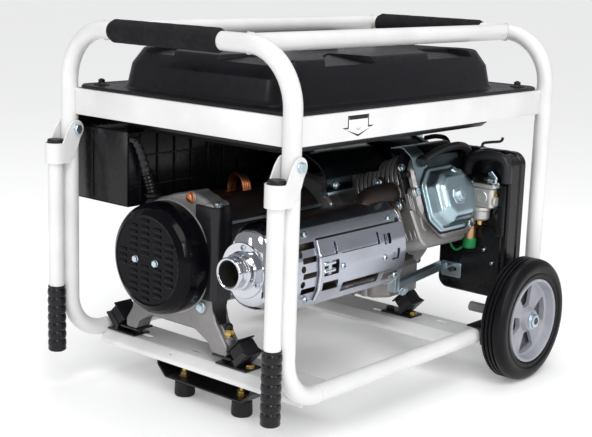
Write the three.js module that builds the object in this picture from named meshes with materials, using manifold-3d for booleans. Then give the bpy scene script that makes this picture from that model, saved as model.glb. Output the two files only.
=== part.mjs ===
// Portable generator in an open tube frame: engine, alternator, fuel tank, muffler,
// control panel, two wheels and two drop-down lift handles.
// Millimetres, +Z up, standing on z = 0. The muffler side faces -Y, the control panel
// side faces +Y, the lift handles are at the -X end and the wheels at the +X end.
import * as THREE from "three";
import { mergeVertices } from "three/addons/utils/BufferGeometryUtils.js";
import Module from "manifold-3d";

const wasm = await Module();
wasm.setup();

// ---------------------------------------------------------------- driving dimensions
const GAP = 0.3; // clearance between pieces that touch
const FRAME_SHIFT = 14.25; // puts the middle of the whole outline at x = 0

// frame tube
const TUBE_R = 14;
const TUBE_SIDES = 16;
const POST_X = 339;
const POST_Y = 240;
const TOP_Z = 599; // centre line of the top tubes
const LOW_Z = 87; // centre line of the bottom tubes
const TOP_BEND = 87;
const LOW_BEND = 68;
const TOP_RAIL_Y = 153; // the long top tubes meet the end tubes inside the bends
const FOAM_R = 18.5;
const FOAM_Y = [-103, 134];

// tank shelf
const SHELF_Z = [460, 502];
const SHELF_LIP = 30;
const SHEET = 3;

// cross channels and feet
const CHANNEL_LEFT_X = -236;
const CHANNEL_RIGHT_X = 180;
const CHANNEL_TOP_Z = 85;
const CHANNEL_LOW_Z = 66;
const FOOT_X = -241;
const FOOT_Y = 65.5;
const FOOT_R = 15;
const FOOT_H = 30;
const FOOT_BRACKET_Y = 107;

// wheels
const WHEEL_X = 248;
const WHEEL_R = 108.5;
const WHEEL_Y = [260, 305]; // inner and outer face of the tyre
const WHEEL_SIDES = 28;
const RIM_R = 74;
const AXLE_R = 7;
const HUB_R = 17;

// lift handles
const HANDLE_X = -368.5;
const HANDLE_R = 12.5;
const PIVOT_Z = 436;
const GRIP_R = 15.1;
const GRIP_Z = [65, 177];

// fuel tank
const TANK_X = -10;
const TANK_Y = -8;
const TANK_HALF = [282, 186];
const TANK_FLANGE_Z = 504.3;
const TANK_BREAK_Z = 546;
const TANK_TOP_Z = 572;
const TANK_LOW_Z = 442;
const TANK_WALL = 3;
const FILLER = [10, 20];
const NECK_R = 30;

// crankshaft line, shared by the alternator and the engine
const AXIS_Y = 68;
const AXIS_Z = 242.5;
const COVER_R = 91;
const STATOR_R = 88;
const COVER_X = [-327, -274];
const BELL_X = [-273.7, -238];
const STATOR_X = [-237.7, 9.7];
const ADAPTER_X = [10, 44];

// engine
const TILT = THREE.MathUtils.degToRad(20); // cylinder above the horizontal
const CASE_X = [44.3, 210];
const BASE_Z = 136.5;
const CYL_X = 146;
const HEAD_D = [190.3, 250]; // distance of the head from the crankshaft
const ELBOW_Z = 330;
const CARB_Y = -152;
const CARB_Z = 300;
const BOWL_Y = -177;
const CHOKE = [254, -172];
const FAN_R = 125;
const FAN_X = [222.3, 300];

// muffler
const MUFFLER_Y = -115;
const MUFFLER_Z = 258;
const MUFFLER_HALF = [45, 68];
const MUFFLER_X = [-296, 50];
const PIPE_Z = 257;

// air cleaner
const AIR_X = [245.3, 295];
const AIR_Y = [-236, -103];
const AIR_Z = [134, 397];

// control panel
const PANEL_X = [-318, 110];
const PANEL_Y = [122, 246];
const PANEL_Z = [319, 441];
const FACE_Y = 252;

// ---------------------------------------------------------------- materials
function material(color, roughness, metalness) {
  return new THREE.MeshStandardMaterial({ color, roughness, metalness });
}

const WHITE = material(0xeceae6, 0.3, 0.0);
const BLACK = material(0x1b1b1e, 0.45, 0.0);
const GLOSS_BLACK = material(0x101014, 0.15, 0.0);
const FOAM = material(0x17181a, 0.9, 0.0);
const RUBBER = material(0x222324, 0.8, 0.0);
const CAST = material(0xa7a39d, 0.5, 0.8);
const CHROME = material(0xc4c8d0, 0.12, 1.0);
const SATIN_STEEL = material(0xa9adb4, 0.35, 0.9);
const ZINC = material(0x9fb4bd, 0.25, 1.0);
const DARK_STEEL = material(0x35312f, 0.55, 0.7);
const GREY_PLASTIC = material(0x8b8d93, 0.55, 0.0);
const DARK_PLASTIC = material(0x2b2d30, 0.6, 0.0);
const RED_PLASTIC = material(0xa02020, 0.5, 0.0);

// ---------------------------------------------------------------- geometry helpers
const X_AXIS = new THREE.Matrix4().makeBasis(
  new THREE.Vector3(0, 1, 0), new THREE.Vector3(0, 0, 1), new THREE.Vector3(1, 0, 0));
const Y_AXIS = new THREE.Matrix4().makeBasis(
  new THREE.Vector3(0, 0, 1), new THREE.Vector3(1, 0, 0), new THREE.Vector3(0, 1, 0));

// Turns a closed three.js geometry into a solid whose faces point out.
function solid(geometry) {
  const bare = geometry.index ? geometry.clone() : mergeVertices(geometry.clone());
  bare.deleteAttribute("normal");
  bare.deleteAttribute("uv");
  const merged = mergeVertices(bare, 1e-4);
  const position = merged.attributes.position;
  const index = Array.from(merged.index.array);
  let volume = 0;
  const [a, b, c] = [new THREE.Vector3(), new THREE.Vector3(), new THREE.Vector3()];
  for (let i = 0; i < index.length; i += 3) {
    a.fromBufferAttribute(position, index[i]);
    b.fromBufferAttribute(position, index[i + 1]);
    c.fromBufferAttribute(position, index[i + 2]);
    volume += a.dot(b.cross(c));
  }
  if (volume < 0) {
    for (let i = 0; i < index.length; i += 3) {
      [index[i], index[i + 1]] = [index[i + 1], index[i]];
    }
  }
  const mesh = new wasm.Mesh({
    numProp: 3,
    vertProperties: new Float32Array(position.array),
    triVerts: new Uint32Array(index),
  });
  return new wasm.Manifold(mesh);
}

function join(...geometries) {
  return geometries.map(solid).reduce((sum, next) => sum.add(next));
}

function cut(body, ...tools) {
  const start = body instanceof wasm.Manifold ? body : solid(body);
  return tools.map(solid).reduce((rest, tool) => rest.subtract(tool), start);
}

function toGeometry(manifold) {
  const mesh = manifold.getMesh();
  const geometry = new THREE.BufferGeometry();
  const positions = new Float32Array(mesh.vertProperties);
  geometry.setAttribute("position", new THREE.BufferAttribute(positions, 3));
  geometry.setIndex(new THREE.BufferAttribute(new Uint32Array(mesh.triVerts), 1));
  geometry.computeVertexNormals();
  return geometry;
}

// Box from its lowest to its highest corner.
function box(x0, x1, y0, y1, z0, z1) {
  const geometry = new THREE.BoxGeometry(x1 - x0, y1 - y0, z1 - z0);
  return geometry.translate((x0 + x1) / 2, (y0 + y1) / 2, (z0 + z1) / 2);
}

// Round rod between two points.
function rod(from, to, radius, sides = 12) {
  const start = new THREE.Vector3(...from);
  const along = new THREE.Vector3(...to).sub(start);
  const geometry = new THREE.CylinderGeometry(radius, radius, along.length(), sides);
  const turn = new THREE.Quaternion().setFromUnitVectors(
    new THREE.Vector3(0, 1, 0), along.clone().normalize());
  geometry.applyQuaternion(turn);
  const middle = start.addScaledVector(along, 0.5);
  return geometry.translate(middle.x, middle.y, middle.z);
}

function polygon(points) {
  return new THREE.Shape(points.map(([u, v]) => new THREE.Vector2(u, v)));
}

function roundRect(u0, u1, v0, v1, radius) {
  const shape = new THREE.Shape();
  const quarter = Math.PI / 2;
  shape.absarc(u1 - radius, v0 + radius, radius, -quarter, 0);
  shape.absarc(u1 - radius, v1 - radius, radius, 0, quarter);
  shape.absarc(u0 + radius, v1 - radius, radius, quarter, 2 * quarter);
  shape.absarc(u0 + radius, v0 + radius, radius, 2 * quarter, 3 * quarter);
  return shape;
}

function disc(u, v, radius) {
  return new THREE.Shape().absarc(u, v, radius, 0, 2 * Math.PI);
}

// Extrudes a (y, z) outline along X, a (z, x) outline along Y or an (x, y) outline along Z.
function prism(axis, shape, from, to, segments = 4) {
  const options = { depth: to - from, bevelEnabled: false, curveSegments: segments };
  const geometry = new THREE.ExtrudeGeometry(shape, options).translate(0, 0, from);
  if (axis === "x") geometry.applyMatrix4(X_AXIS);
  if (axis === "y") geometry.applyMatrix4(Y_AXIS);
  return geometry;
}

// Outline given as (x, z) points, extruded along Y.
function slabXZ(points, y0, y1) {
  return prism("y", polygon(points.map(([x, z]) => [z, x])), y0, y1);
}

// Turns a profile of [radius, position] points about an axis through (y, z), (z, x) or (x, y).
function lathe(axis, profile, centre, sides = 24) {
  const points = profile.map(([radius, along]) => new THREE.Vector2(radius, along));
  const geometry = new THREE.LatheGeometry(points, sides);
  const [u, v] = centre;
  if (axis === "x") return geometry.rotateZ(-Math.PI / 2).translate(0, u, v);
  if (axis === "y") return geometry.translate(v, 0, u);
  return geometry.rotateX(Math.PI / 2).translate(u, v, 0);
}

// A path that a bent tube follows: straight runs with round corners. Its stations are
// the ends of the straight runs and evenly turned steps round each corner.
class BentPath extends THREE.Curve {
  constructor(corners, radii, stepsPerTurn = 5) {
    super();
    const points = corners.map((corner) => new THREE.Vector3(...corner));
    this.stations = [points[0]];
    for (let i = 1; i < points.length - 1; i++) {
      const back = points[i - 1].clone().sub(points[i]).normalize();
      const ahead = points[i + 1].clone().sub(points[i]).normalize();
      const half = back.angleTo(ahead) / 2;
      const reach = radii[i - 1] / Math.tan(half);
      const inward = back.clone().add(ahead).normalize();
      const centre = points[i].clone().addScaledVector(inward, radii[i - 1] / Math.sin(half));
      const start = points[i].clone().addScaledVector(back, reach).sub(centre);
      const turn = Math.PI - 2 * half;
      const axis = back.clone().negate().cross(ahead).normalize();
      const steps = Math.max(2, Math.round(stepsPerTurn * turn / (Math.PI / 2)));
      for (let s = 0; s <= steps; s++) {
        const arm = start.clone().applyAxisAngle(axis, turn * s / steps);
        this.stations.push(arm.add(centre));
      }
    }
    this.stations.push(points[points.length - 1]);
  }

  getUtoTmapping(u) {
    return u;
  }

  getPoint(t) {
    return this.stations[Math.round(t * (this.stations.length - 1))].clone();
  }

  getTangent(t) {
    const last = this.stations.length - 1;
    const i = Math.round(t * last);
    const here = this.stations[i];
    const before = this.stations[Math.max(0, i - 1)];
    const after = this.stations[Math.min(last, i + 1)];
    const tangent = here.clone().sub(before).normalize();
    return tangent.add(after.clone().sub(here).normalize()).normalize();
  }
}

function bentTube(corners, radii, radius, sides = TUBE_SIDES, stepsPerTurn = 5) {
  const path = new BentPath(corners, radii, stepsPerTurn);
  const section = new THREE.Shape().absarc(0, 0, radius, 0, 2 * Math.PI);
  return new THREE.ExtrudeGeometry(section, {
    steps: path.stations.length - 1,
    curveSegments: sides / 2,
    extrudePath: path,
  });
}

// Rounded block whose outline shrinks with height: levels are [z, inset] pairs.
function taperedBlock(half, radius, levels) {
  const shape = roundRect(-half[0], half[0], -half[1], half[1], radius);
  const steps = levels.length - 1;
  const options = { depth: steps, steps, bevelEnabled: false, curveSegments: 3 };
  const geometry = new THREE.ExtrudeGeometry(shape, options);
  const position = geometry.attributes.position;
  for (let i = 0; i < position.count; i++) {
    const [z, inset] = levels[Math.round(position.getZ(i))];
    const x = position.getX(i);
    const y = position.getY(i);
    position.setXYZ(i, x - Math.sign(x) * inset, y - Math.sign(y) * inset, z);
  }
  return geometry.translate(TANK_X, TANK_Y, 0);
}

// Places a shape drawn square to the cylinder: x stays x, the second coordinate runs out
// along the cylinder from the crankshaft and the third stands square to it.
function alongCylinder(geometry) {
  const frame = new THREE.Matrix4().makeBasis(
    new THREE.Vector3(1, 0, 0),
    new THREE.Vector3(0, -Math.cos(TILT), Math.sin(TILT)),
    new THREE.Vector3(0, Math.sin(TILT), Math.cos(TILT)));
  frame.setPosition(0, AXIS_Y, AXIS_Z);
  return geometry.applyMatrix4(frame);
}

const model = new THREE.Group();
model.position.x = FRAME_SHIFT;

function add(name, shape, look) {
  const geometry = toGeometry(shape instanceof wasm.Manifold ? shape : solid(shape));
  const mesh = new THREE.Mesh(geometry, look);
  mesh.name = name;
  model.add(mesh);
}

const SIDES = [["near", -1], ["far", 1]];
const ENDS = [["left", -1], ["right", 1]];

// ---------------------------------------------------------------- tube frame
// Each end is one bent tube: bottom corner, post, end rail, post, bottom corner.
function hoopTube(end, radius) {
  const x = end * POST_X;
  const start = end * (POST_X - LOW_BEND - 3);
  const corners = [
    [start, -POST_Y, LOW_Z], [x, -POST_Y, LOW_Z], [x, -POST_Y, TOP_Z],
    [x, POST_Y, TOP_Z], [x, POST_Y, LOW_Z], [start, POST_Y, LOW_Z],
  ];
  return bentTube(corners, [LOW_BEND, TOP_BEND, TOP_BEND, LOW_BEND], radius);
}

// The left hoop is drilled through both posts for the handle pivots.
function endHoop(end) {
  const hoop = solid(hoopTube(end, TUBE_R));
  if (end > 0) return hoop;
  const x = end * POST_X;
  const bolts = SIDES.map(([, side]) => rod(
    [x, side * (POST_Y - 30), PIVOT_Z], [x, side * (POST_Y + 30), PIVOT_Z], 4.4, 8));
  return cut(hoop, ...bolts);
}

function topRail(side) {
  const reach = POST_X - 2;
  const y = side * TOP_RAIL_Y;
  const rail = rod([-reach, y, TOP_Z], [reach, y, TOP_Z], TUBE_R, TUBE_SIDES);
  return cut(rail, ...ENDS.map(([, end]) => hoopTube(end, TUBE_R + 2 * GAP)));
}

function bottomRail(side) {
  const reach = POST_X - LOW_BEND - 3 - GAP;
  return rod([-reach, side * POST_Y, LOW_Z], [reach, side * POST_Y, LOW_Z], TUBE_R, TUBE_SIDES);
}

// Deep sheet band round the four posts with a lip on top that carries the tank.
function tankShelf() {
  const outer = box(-POST_X, POST_X, -POST_Y, POST_Y, ...SHELF_Z);
  const inX = POST_X - SHEET;
  const inY = POST_Y - SHEET;
  const below = box(-inX, inX, -inY, inY, SHELF_Z[0] - 1, SHELF_Z[1] - SHEET);
  const lipX = POST_X - SHELF_LIP;
  const lipY = POST_Y - SHELF_LIP;
  const hole = box(-lipX, lipX, -lipY, lipY, SHELF_Z[0], SHELF_Z[1] + 1);
  const posts = [];
  for (const [, end] of ENDS) {
    for (const [, side] of SIDES) {
      const [x, y] = [end * POST_X, side * POST_Y];
      posts.push(rod([x, y, SHELF_Z[0] - 1], [x, y, SHELF_Z[1] + 1], TUBE_R + GAP, 24));
    }
  }
  return cut(outer, below, hole, ...posts);
}

// Pressed cross channel, open below, welded between the bottom rails.
function crossChannel(x) {
  const outline = [
    [-50, CHANNEL_LOW_Z], [-45.5, CHANNEL_LOW_Z], [-31, CHANNEL_TOP_Z - SHEET],
    [31, CHANNEL_TOP_Z - SHEET], [45.5, CHANNEL_LOW_Z], [50, CHANNEL_LOW_Z],
    [33, CHANNEL_TOP_Z], [-33, CHANNEL_TOP_Z],
  ].map(([dx, z]) => [x + dx, z]);
  const rails = SIDES.map(([, side]) => rod(
    [x - 70, side * POST_Y, LOW_Z], [x + 70, side * POST_Y, LOW_Z], TUBE_R + GAP, 24));
  return cut(slabXZ(outline, -POST_Y + 4, POST_Y - 4), ...rails);
}

for (const [name, end] of ENDS) add(`frame_hoop_${name}`, endHoop(end), WHITE);
for (const [name, side] of SIDES) {
  add(`top_rail_${name}`, topRail(side), WHITE);
  add(`bottom_rail_${name}`, bottomRail(side), WHITE);
}
add("tank_shelf", tankShelf(), WHITE);
add("cross_channel_left", crossChannel(CHANNEL_LEFT_X), WHITE);
add("cross_channel_right", crossChannel(CHANNEL_RIGHT_X), WHITE);

// Foam sleeves on the two end rails.
for (const [name, end] of ENDS) {
  const sleeve = disc(TOP_Z, end * POST_X, FOAM_R);
  sleeve.holes.push(disc(TOP_Z, end * POST_X, TUBE_R + GAP));
  add(`foam_grip_${name}`, prism("y", sleeve, ...FOAM_Y, 8), FOAM);
}

// ---------------------------------------------------------------- feet
function footBracket() {
  const [half, top] = [25, CHANNEL_TOP_Z - SHEET - GAP];
  const low = FOOT_H + GAP;
  const outer = box(
    FOOT_X - half, FOOT_X + half, -FOOT_BRACKET_Y, FOOT_BRACKET_Y, low, top);
  const inner = box(
    FOOT_X - half + SHEET, FOOT_X + half - SHEET,
    -FOOT_BRACKET_Y - 1, FOOT_BRACKET_Y + 1, low + SHEET, top - SHEET);
  return cut(outer, inner);
}

add("foot_bracket", footBracket(), BLACK);
for (const [name, side] of SIDES) {
  const profile = [[0, 0], [FOOT_R - 2, 0], [FOOT_R, 3], [FOOT_R - 2, FOOT_H], [0, FOOT_H]];
  add(`rubber_foot_${name}`, lathe("z", profile, [FOOT_X, side * FOOT_Y], 16), RUBBER);
}

// ---------------------------------------------------------------- wheels
// A saddle over the bottom rail carries the fixed axle, with the washer and nut outside.
function wheelBracket(side) {
  const y = (value) => side * value;
  const span = (a, b) => [Math.min(y(a), y(b)), Math.max(y(a), y(b))];
  const top = LOW_Z + TUBE_R + GAP;
  const outerFace = POST_Y + TUBE_R + GAP;
  const innerFace = POST_Y - TUBE_R - GAP;
  return join(
    box(WHEEL_X - 95, WHEEL_X + 18, ...span(outerFace, outerFace + SHEET), 74, top + 3),
    box(WHEEL_X - 95, WHEEL_X + 18, ...span(innerFace, outerFace + SHEET), top, top + 3),
    box(WHEEL_X - 16, WHEEL_X + 18, ...span(innerFace - SHEET, outerFace), top, top + 3),
    box(WHEEL_X - 16, WHEEL_X + 18, ...span(innerFace - SHEET, innerFace), 74, top + 3),
    rod([WHEEL_X, y(188), WHEEL_R], [WHEEL_X, y(WHEEL_Y[1] + 3), WHEEL_R], AXLE_R, 12),
    rod([WHEEL_X, y(172), WHEEL_R], [WHEEL_X, y(190), WHEEL_R], 9, 6),
    rod([WHEEL_X, y(WHEEL_Y[1] - 4), WHEEL_R], [WHEEL_X, y(WHEEL_Y[1] - 2), WHEEL_R], 14, 16),
    rod([WHEEL_X, y(WHEEL_Y[1] - 3), WHEEL_R], [WHEEL_X, y(WHEEL_Y[1] + 4), WHEEL_R], 9, 6));
}

function tyre(side) {
  const [back, front] = WHEEL_Y;
  const profile = [
    [RIM_R + GAP, back + 4], [86, back], [100, back + 2], [WHEEL_R, back + 11],
    [WHEEL_R, front - 11], [100, front - 2], [86, front], [RIM_R + GAP, front - 4],
    [RIM_R + GAP, back + 4]];
  const mirrored = profile.map(([radius, along]) => [radius, side * along]);
  return lathe("y", mirrored, [WHEEL_R, WHEEL_X], WHEEL_SIDES);
}

function rim(side) {
  const bore = AXLE_R + GAP;
  const profile = [
    [bore, 264], [HUB_R, 264], [HUB_R, 279], [63, 279], [66, 264], [RIM_R, 263],
    [RIM_R, 303], [67, 303], [64, 288], [HUB_R + 3, 290], [HUB_R, 300], [bore, 300],
    [bore, 264],
  ].map(([radius, along]) => [radius, side * along]);
  const windows = [0, 1, 2, 3].map((i) => {
    const middle = Math.PI / 4 * (2 * i + 1) + Math.PI / 4;
    const shape = new THREE.Shape();
    const corner = (radius, angle) => [
      radius * Math.cos(middle + angle), radius * Math.sin(middle + angle)];
    shape.moveTo(...corner(30, -0.34)).lineTo(...corner(58, -0.5)).lineTo(...corner(60, 0));
    shape.lineTo(...corner(58, 0.5)).lineTo(...corner(30, 0.34));
    return prism("y", shape, Math.min(side * 270, side * 296), Math.max(side * 270, side * 296))
      .translate(WHEEL_X, 0, WHEEL_R);
  });
  return cut(lathe("y", profile, [WHEEL_R, WHEEL_X], WHEEL_SIDES), ...windows);
}

for (const [name, side] of SIDES) {
  add(`wheel_bracket_${name}`, wheelBracket(side), BLACK);
  add(`tyre_${name}`, tyre(side), RUBBER);
  add(`rim_${name}`, rim(side), GREY_PLASTIC);
}

// ---------------------------------------------------------------- lift handles
// Each handle hangs outside its post from a clevis whose two ears straddle the post.
function liftHandle(side) {
  const y = side * POST_Y;
  const x = -POST_X;
  const ear = [[HANDLE_X, 381.5], [-358, 383.5], [-347, 390], [-339, 399], [-335, 409]];
  for (let i = 0; i <= 7; i++) {
    const angle = THREE.MathUtils.degToRad(-40 + i * 27);
    ear.push([x + 14.5 * Math.cos(angle), PIVOT_Z + 14.5 * Math.sin(angle)]);
  }
  ear.push([-359, 431], [-364, 420], [HANDLE_X, 414.7]);
  const inside = TUBE_R + 1;
  const collar = new THREE.Shape();
  collar.moveTo(-352, y - inside - 2.5).lineTo(-352, y - inside).lineTo(HANDLE_X, y - inside);
  collar.absarc(HANDLE_X, y, inside, -Math.PI / 2, Math.PI / 2, true);
  collar.lineTo(-352, y + inside).lineTo(-352, y + inside + 2.5);
  collar.lineTo(HANDLE_X, y + inside + 2.5);
  collar.absarc(HANDLE_X, y, inside + 2.5, Math.PI / 2, -Math.PI / 2, false);
  const body = join(
    prism("z", collar, 381.5, 414.7, 8),
    slabXZ(ear, y - inside - 2.5, y - inside),
    slabXZ(ear, y + inside, y + inside + 2.5),
    rod([HANDLE_X, y, GRIP_Z[0] + 4 + GAP], [HANDLE_X, y, 414.7], HANDLE_R, 14),
    rod([HANDLE_X, y, 384], [HANDLE_X, y, 412], inside + 0.2, 16),
    rod([HANDLE_X, y, 414], [HANDLE_X, y, 420.6], 13, 14));
  return cut(body, rod([x, y - 30, PIVOT_Z], [x, y + 30, PIVOT_Z], 4.6, 8));
}

// Rubber grip: a cup over the lower end of the tube.
function handleGrip(side) {
  const [low, high] = GRIP_Z;
  const bore = HANDLE_R + GAP;
  const profile = [
    [0, low], [GRIP_R - 2, low], [GRIP_R, low + 3], [GRIP_R, high - 2], [GRIP_R - 1, high],
    [bore, high], [bore, low + 4], [0, low + 4]];
  return lathe("z", profile, [HANDLE_X, side * POST_Y], 16);
}

function pivotBolt(side) {
  const at = (from, to, radius, sides) => rod(
    [-POST_X, side * (POST_Y + from), PIVOT_Z],
    [-POST_X, side * (POST_Y + to), PIVOT_Z], radius, sides);
  return join(at(-24, 19, 4, 8), at(17.8, 22.5, 7.5, 6), at(-23.5, -17.8, 7, 6));
}

for (const [name, side] of SIDES) {
  add(`handle_${name}`, liftHandle(side), WHITE);
  add(`handle_grip_${name}`, handleGrip(side), RUBBER);
  add(`pivot_bolt_${name}`, pivotBolt(side), ZINC);
}

// ---------------------------------------------------------------- fuel tank
// Upper pressing with its seam flange, filler neck and open filler.
function upperTank() {
  const levels = [[TANK_FLANGE_Z, 0], [TANK_BREAK_Z, 16], [TANK_TOP_Z, 34]];
  const outside = solid(taperedBlock(TANK_HALF, 42, levels));
  const inner = [TANK_HALF[0] - TANK_WALL, TANK_HALF[1] - TANK_WALL];
  const hollow = taperedBlock(inner, 40, [
    [TANK_FLANGE_Z - 1, 0], [TANK_BREAK_Z - 1, 16], [TANK_TOP_Z - TANK_WALL, 34]]);
  const flange = prism("z", tankFlange(), TANK_FLANGE_Z, TANK_FLANGE_Z + 2.2);
  const neck = rod([...FILLER, TANK_TOP_Z - 4], [...FILLER, TANK_TOP_Z + 12], NECK_R, 20);
  const filler = rod([...FILLER, TANK_TOP_Z - 9], [...FILLER, TANK_TOP_Z + 13], NECK_R - 4, 20);
  return cut(outside.add(solid(flange)).add(solid(neck)), hollow, filler);
}

function tankFlange() {
  const [x, y, corner] = [POST_X - 7, POST_Y - 7, 24];
  return polygon([
    [-x + corner, -y], [x - corner, -y], [x, -y + corner], [x, y - corner],
    [x - corner, y], [-x + corner, y], [-x, y - corner], [-x, -y + corner]]);
}

// Lower pressing: a shallow pan that hangs through the shelf.
function lowerTank() {
  const top = TANK_FLANGE_Z - GAP;
  const half = [TANK_HALF[0] - 8, TANK_HALF[1] - 8];
  const pan = solid(taperedBlock(half, 40, [[TANK_LOW_Z, 34], [462, 6], [top, 0]]));
  const flange = solid(prism("z", tankFlange(), SHELF_Z[1] + GAP, top));
  const inner = [half[0] - TANK_WALL, half[1] - TANK_WALL];
  const hollow = taperedBlock(inner, 38, [
    [TANK_LOW_Z + TANK_WALL, 34], [463, 6], [top + 1, 0]]);
  return cut(pan.add(flange), hollow);
}

function fuelCap() {
  const low = TANK_TOP_Z + 1.5;
  const profile = [
    [NECK_R + 1, low], [39, low], [41, low + 3], [41, low + 16], [38, low + 21],
    [0, low + 21], [0, low + 12], [NECK_R + 1, low + 12], [NECK_R + 1, low]];
  return lathe("z", profile, FILLER, 20);
}

add("fuel_tank_upper", upperTank(), BLACK);
add("fuel_tank_lower", lowerTank(), BLACK);
add("fuel_cap", fuelCap(), DARK_PLASTIC);

// ---------------------------------------------------------------- alternator
const LINE = [AXIS_Y, AXIS_Z];

// Domed end cover with a ring of cooling slots.
function endCover() {
  const [front, back] = COVER_X;
  const profile = [
    [0, front], [60, front], [78, front + 5], [88, front + 14], [COVER_R, front + 26],
    [COVER_R, back], [COVER_R - 3, back], [COVER_R - 3, front + 27], [85, front + 16],
    [76, front + 8], [59, front + 3], [0, front + 3]];
  const slots = [];
  for (let i = 0; i < 10; i++) {
    const angle = 2 * Math.PI * (i + 0.5) / 10;
    const slot = box(front - 2, front + 8, -2, 2, -6, 6);
    slots.push(slot.translate(
      0, AXIS_Y + 42 * Math.cos(angle), AXIS_Z + 42 * Math.sin(angle)));
  }
  return cut(lathe("x", profile, LINE, 28), ...slots);
}

// Cast end bracket: it holds the stator and the rear bearing, and stands on two feet.
function endBell() {
  const outline = polygon([
    [-36, 99.5], [-8, 99.5], [12, 122], [124, 122], [144, 99.5], [172, 99.5], [172, 113],
    [160, 150], [160, 284], [102, 334.5], [60, 343], [-4, 343], [-16, 335], [-24, 310],
    [-24, 150], [-36, 113]]);
  outline.holes.push(disc(AXIS_Y, AXIS_Z, 22));
  return prism("x", outline, ...BELL_X, 14);
}

function stator() {
  const ring = disc(AXIS_Y, AXIS_Z, STATOR_R);
  ring.holes.push(disc(AXIS_Y, AXIS_Z, 62));
  return prism("x", ring, ...STATOR_X, 14);
}

// Cast ring between the stator and the engine.
function adapter() {
  const outline = polygon([
    [0, 158], [136, 158], [158, 180], [158, 284], [102, 332], [16, 332], [-22, 300],
    [-22, 180]]);
  outline.holes.push(disc(AXIS_Y, AXIS_Z, 40));
  return prism("x", outline, ...ADAPTER_X, 10);
}

// Folded plate that keeps the muffler's heat off the alternator.
function heatPlate() {
  const y = -24 - GAP;
  const fold = polygon([
    [-276, y], [-270, y - 10], [-240, y - 10], [-232, y - 4], [-230.6, y - 5.6],
    [-239.4, y - 12.2], [-271.2, y - 12.2], [-278, y - 1]]);
  return prism("z", fold, 187, 333);
}

function conduit() {
  const top = PANEL_Y[0] - GAP;
  return bentTube(
    [[-278, 109, 338], [-304, 109, 417], [-304, top, 417]],
    [12], 9, 12, 4);
}

// Crankshaft, rotor and flywheel turn as one piece.
function crankshaft() {
  return lathe("x", [
    [0, -312], [12, -312], [12, -280], [16, -280], [16, -215], [59, -215], [59, -20],
    [18, -20], [18, 232], [104, 232], [104, 262], [24, 262], [24, 285], [0, 285]], LINE, 18);
}

add("alternator_cover", endCover(), GLOSS_BLACK);
add("alternator_bell", endBell(), CAST);
add("alternator_stator", stator(), DARK_STEEL);
add("alternator_adapter", adapter(), CAST);
add("heat_plate", heatPlate(), BLACK);
add("panel_conduit", conduit(), BLACK);
add("crankshaft_rotor", crankshaft(), DARK_STEEL);

// ---------------------------------------------------------------- rubber mounts
// Each mount leans inward: a steel foot on the channel, a rubber block and a steel arm
// that runs in under the machine's own foot.
const MOUNT_MIDDLE_Y = 62;

function rubberMount(x, side, armZ) {
  const low = CHANNEL_TOP_Z + GAP;
  const outline = [
    [163, low], [163, low + 3], [158, low + 3], [164, 112], [145, 134], [142, 131],
    [117, armZ - GAP], [72, armZ - GAP], [72, armZ - GAP - 3], [116, armZ - GAP - 3],
    [124, armZ - 12], [142, low]];
  const placed = outline.map(([reach, z]) => [MOUNT_MIDDLE_Y + side * reach, z]);
  if (side > 0) placed.reverse();
  return prism("x", polygon(placed), x - 19, x + 19);
}

for (const [name, side] of SIDES) {
  add(`mount_left_${name}`, rubberMount(BELL_X[0] + 19, side, 99.5), RUBBER);
  add(`mount_right_${name}`, rubberMount(CHANNEL_RIGHT_X, side, BASE_Z), RUBBER);
}

// ---------------------------------------------------------------- engine
// Crankcase with the base, the finned barrel and the round seat of the fan housing.
function crankcase() {
  const outline = polygon([
    [-42, BASE_Z], [176, BASE_Z], [176, 150], [166, 160], [166, 262], [140, 300],
    [118, 318], [100, 338], [30, 342], [-22, 306], [-36, 250], [-36, 160], [-42, 150]]);
  const barrel = alongCylinder(box(84, 208, 90, HEAD_D[0] - GAP, -62, 62));
  const fins = [];
  for (let d = 124; d < HEAD_D[0] - 6; d += 10) {
    fins.push(alongCylinder(box(72, 220, d, d + 2.6, -88, 80)));
  }
  const seat = lathe("x", [
    [0, CASE_X[1] - 2], [119, CASE_X[1] - 2], [119, FAN_X[0] - GAP], [0, FAN_X[0] - GAP]],
  LINE, 32);
  const body = join(prism("x", outline, ...CASE_X), barrel, ...fins, seat);
  const bore = rod([CASE_X[0] - 1, ...LINE], [FAN_X[0] + 1, ...LINE], 18 + GAP, 24);
  return cut(body, bore);
}

function cylinderHead() {
  const [low, high] = HEAD_D;
  const pieces = [alongCylinder(box(88, 204, low, high, -58, 58))];
  for (let d = low + 4; d < high - 12; d += 9.5) {
    pieces.push(alongCylinder(box(72, 220, d, d + 2.6, -78, 80)));
  }
  pieces.push(rod([66, MUFFLER_Y, ELBOW_Z], [90, MUFFLER_Y, ELBOW_Z], 21, 16));
  pieces.push(rod([202, CARB_Y, CARB_Z], [221.7, CARB_Y, CARB_Z], 15, 16));
  return cut(join(...pieces), alongCylinder(box(60, 230, low - 40, low, -100, 100)));
}

function valveCover() {
  const low = HEAD_D[1] + GAP;
  const rings = [[60, 57, 4], [56, 53, 28], [46, 43, 38]];
  const pieces = rings.map(([halfX, halfH, top]) => {
    const chamfer = halfX * 0.4;
    const shape = polygon([
      [-halfH, -halfX + chamfer], [-halfH + chamfer, -halfX], [halfH - chamfer, -halfX],
      [halfH, -halfX + chamfer], [halfH, halfX - chamfer], [halfH - chamfer, halfX],
      [-halfH + chamfer, halfX], [-halfH, halfX - chamfer]]);
    return alongCylinder(prism("y", shape, low, low + top).translate(CYL_X, 0, 0));
  });
  const bolt = rod([CYL_X, low + 36, 0], [CYL_X, low + 46, 0], 9, 6);
  return join(...pieces, alongCylinder(bolt));
}

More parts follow.
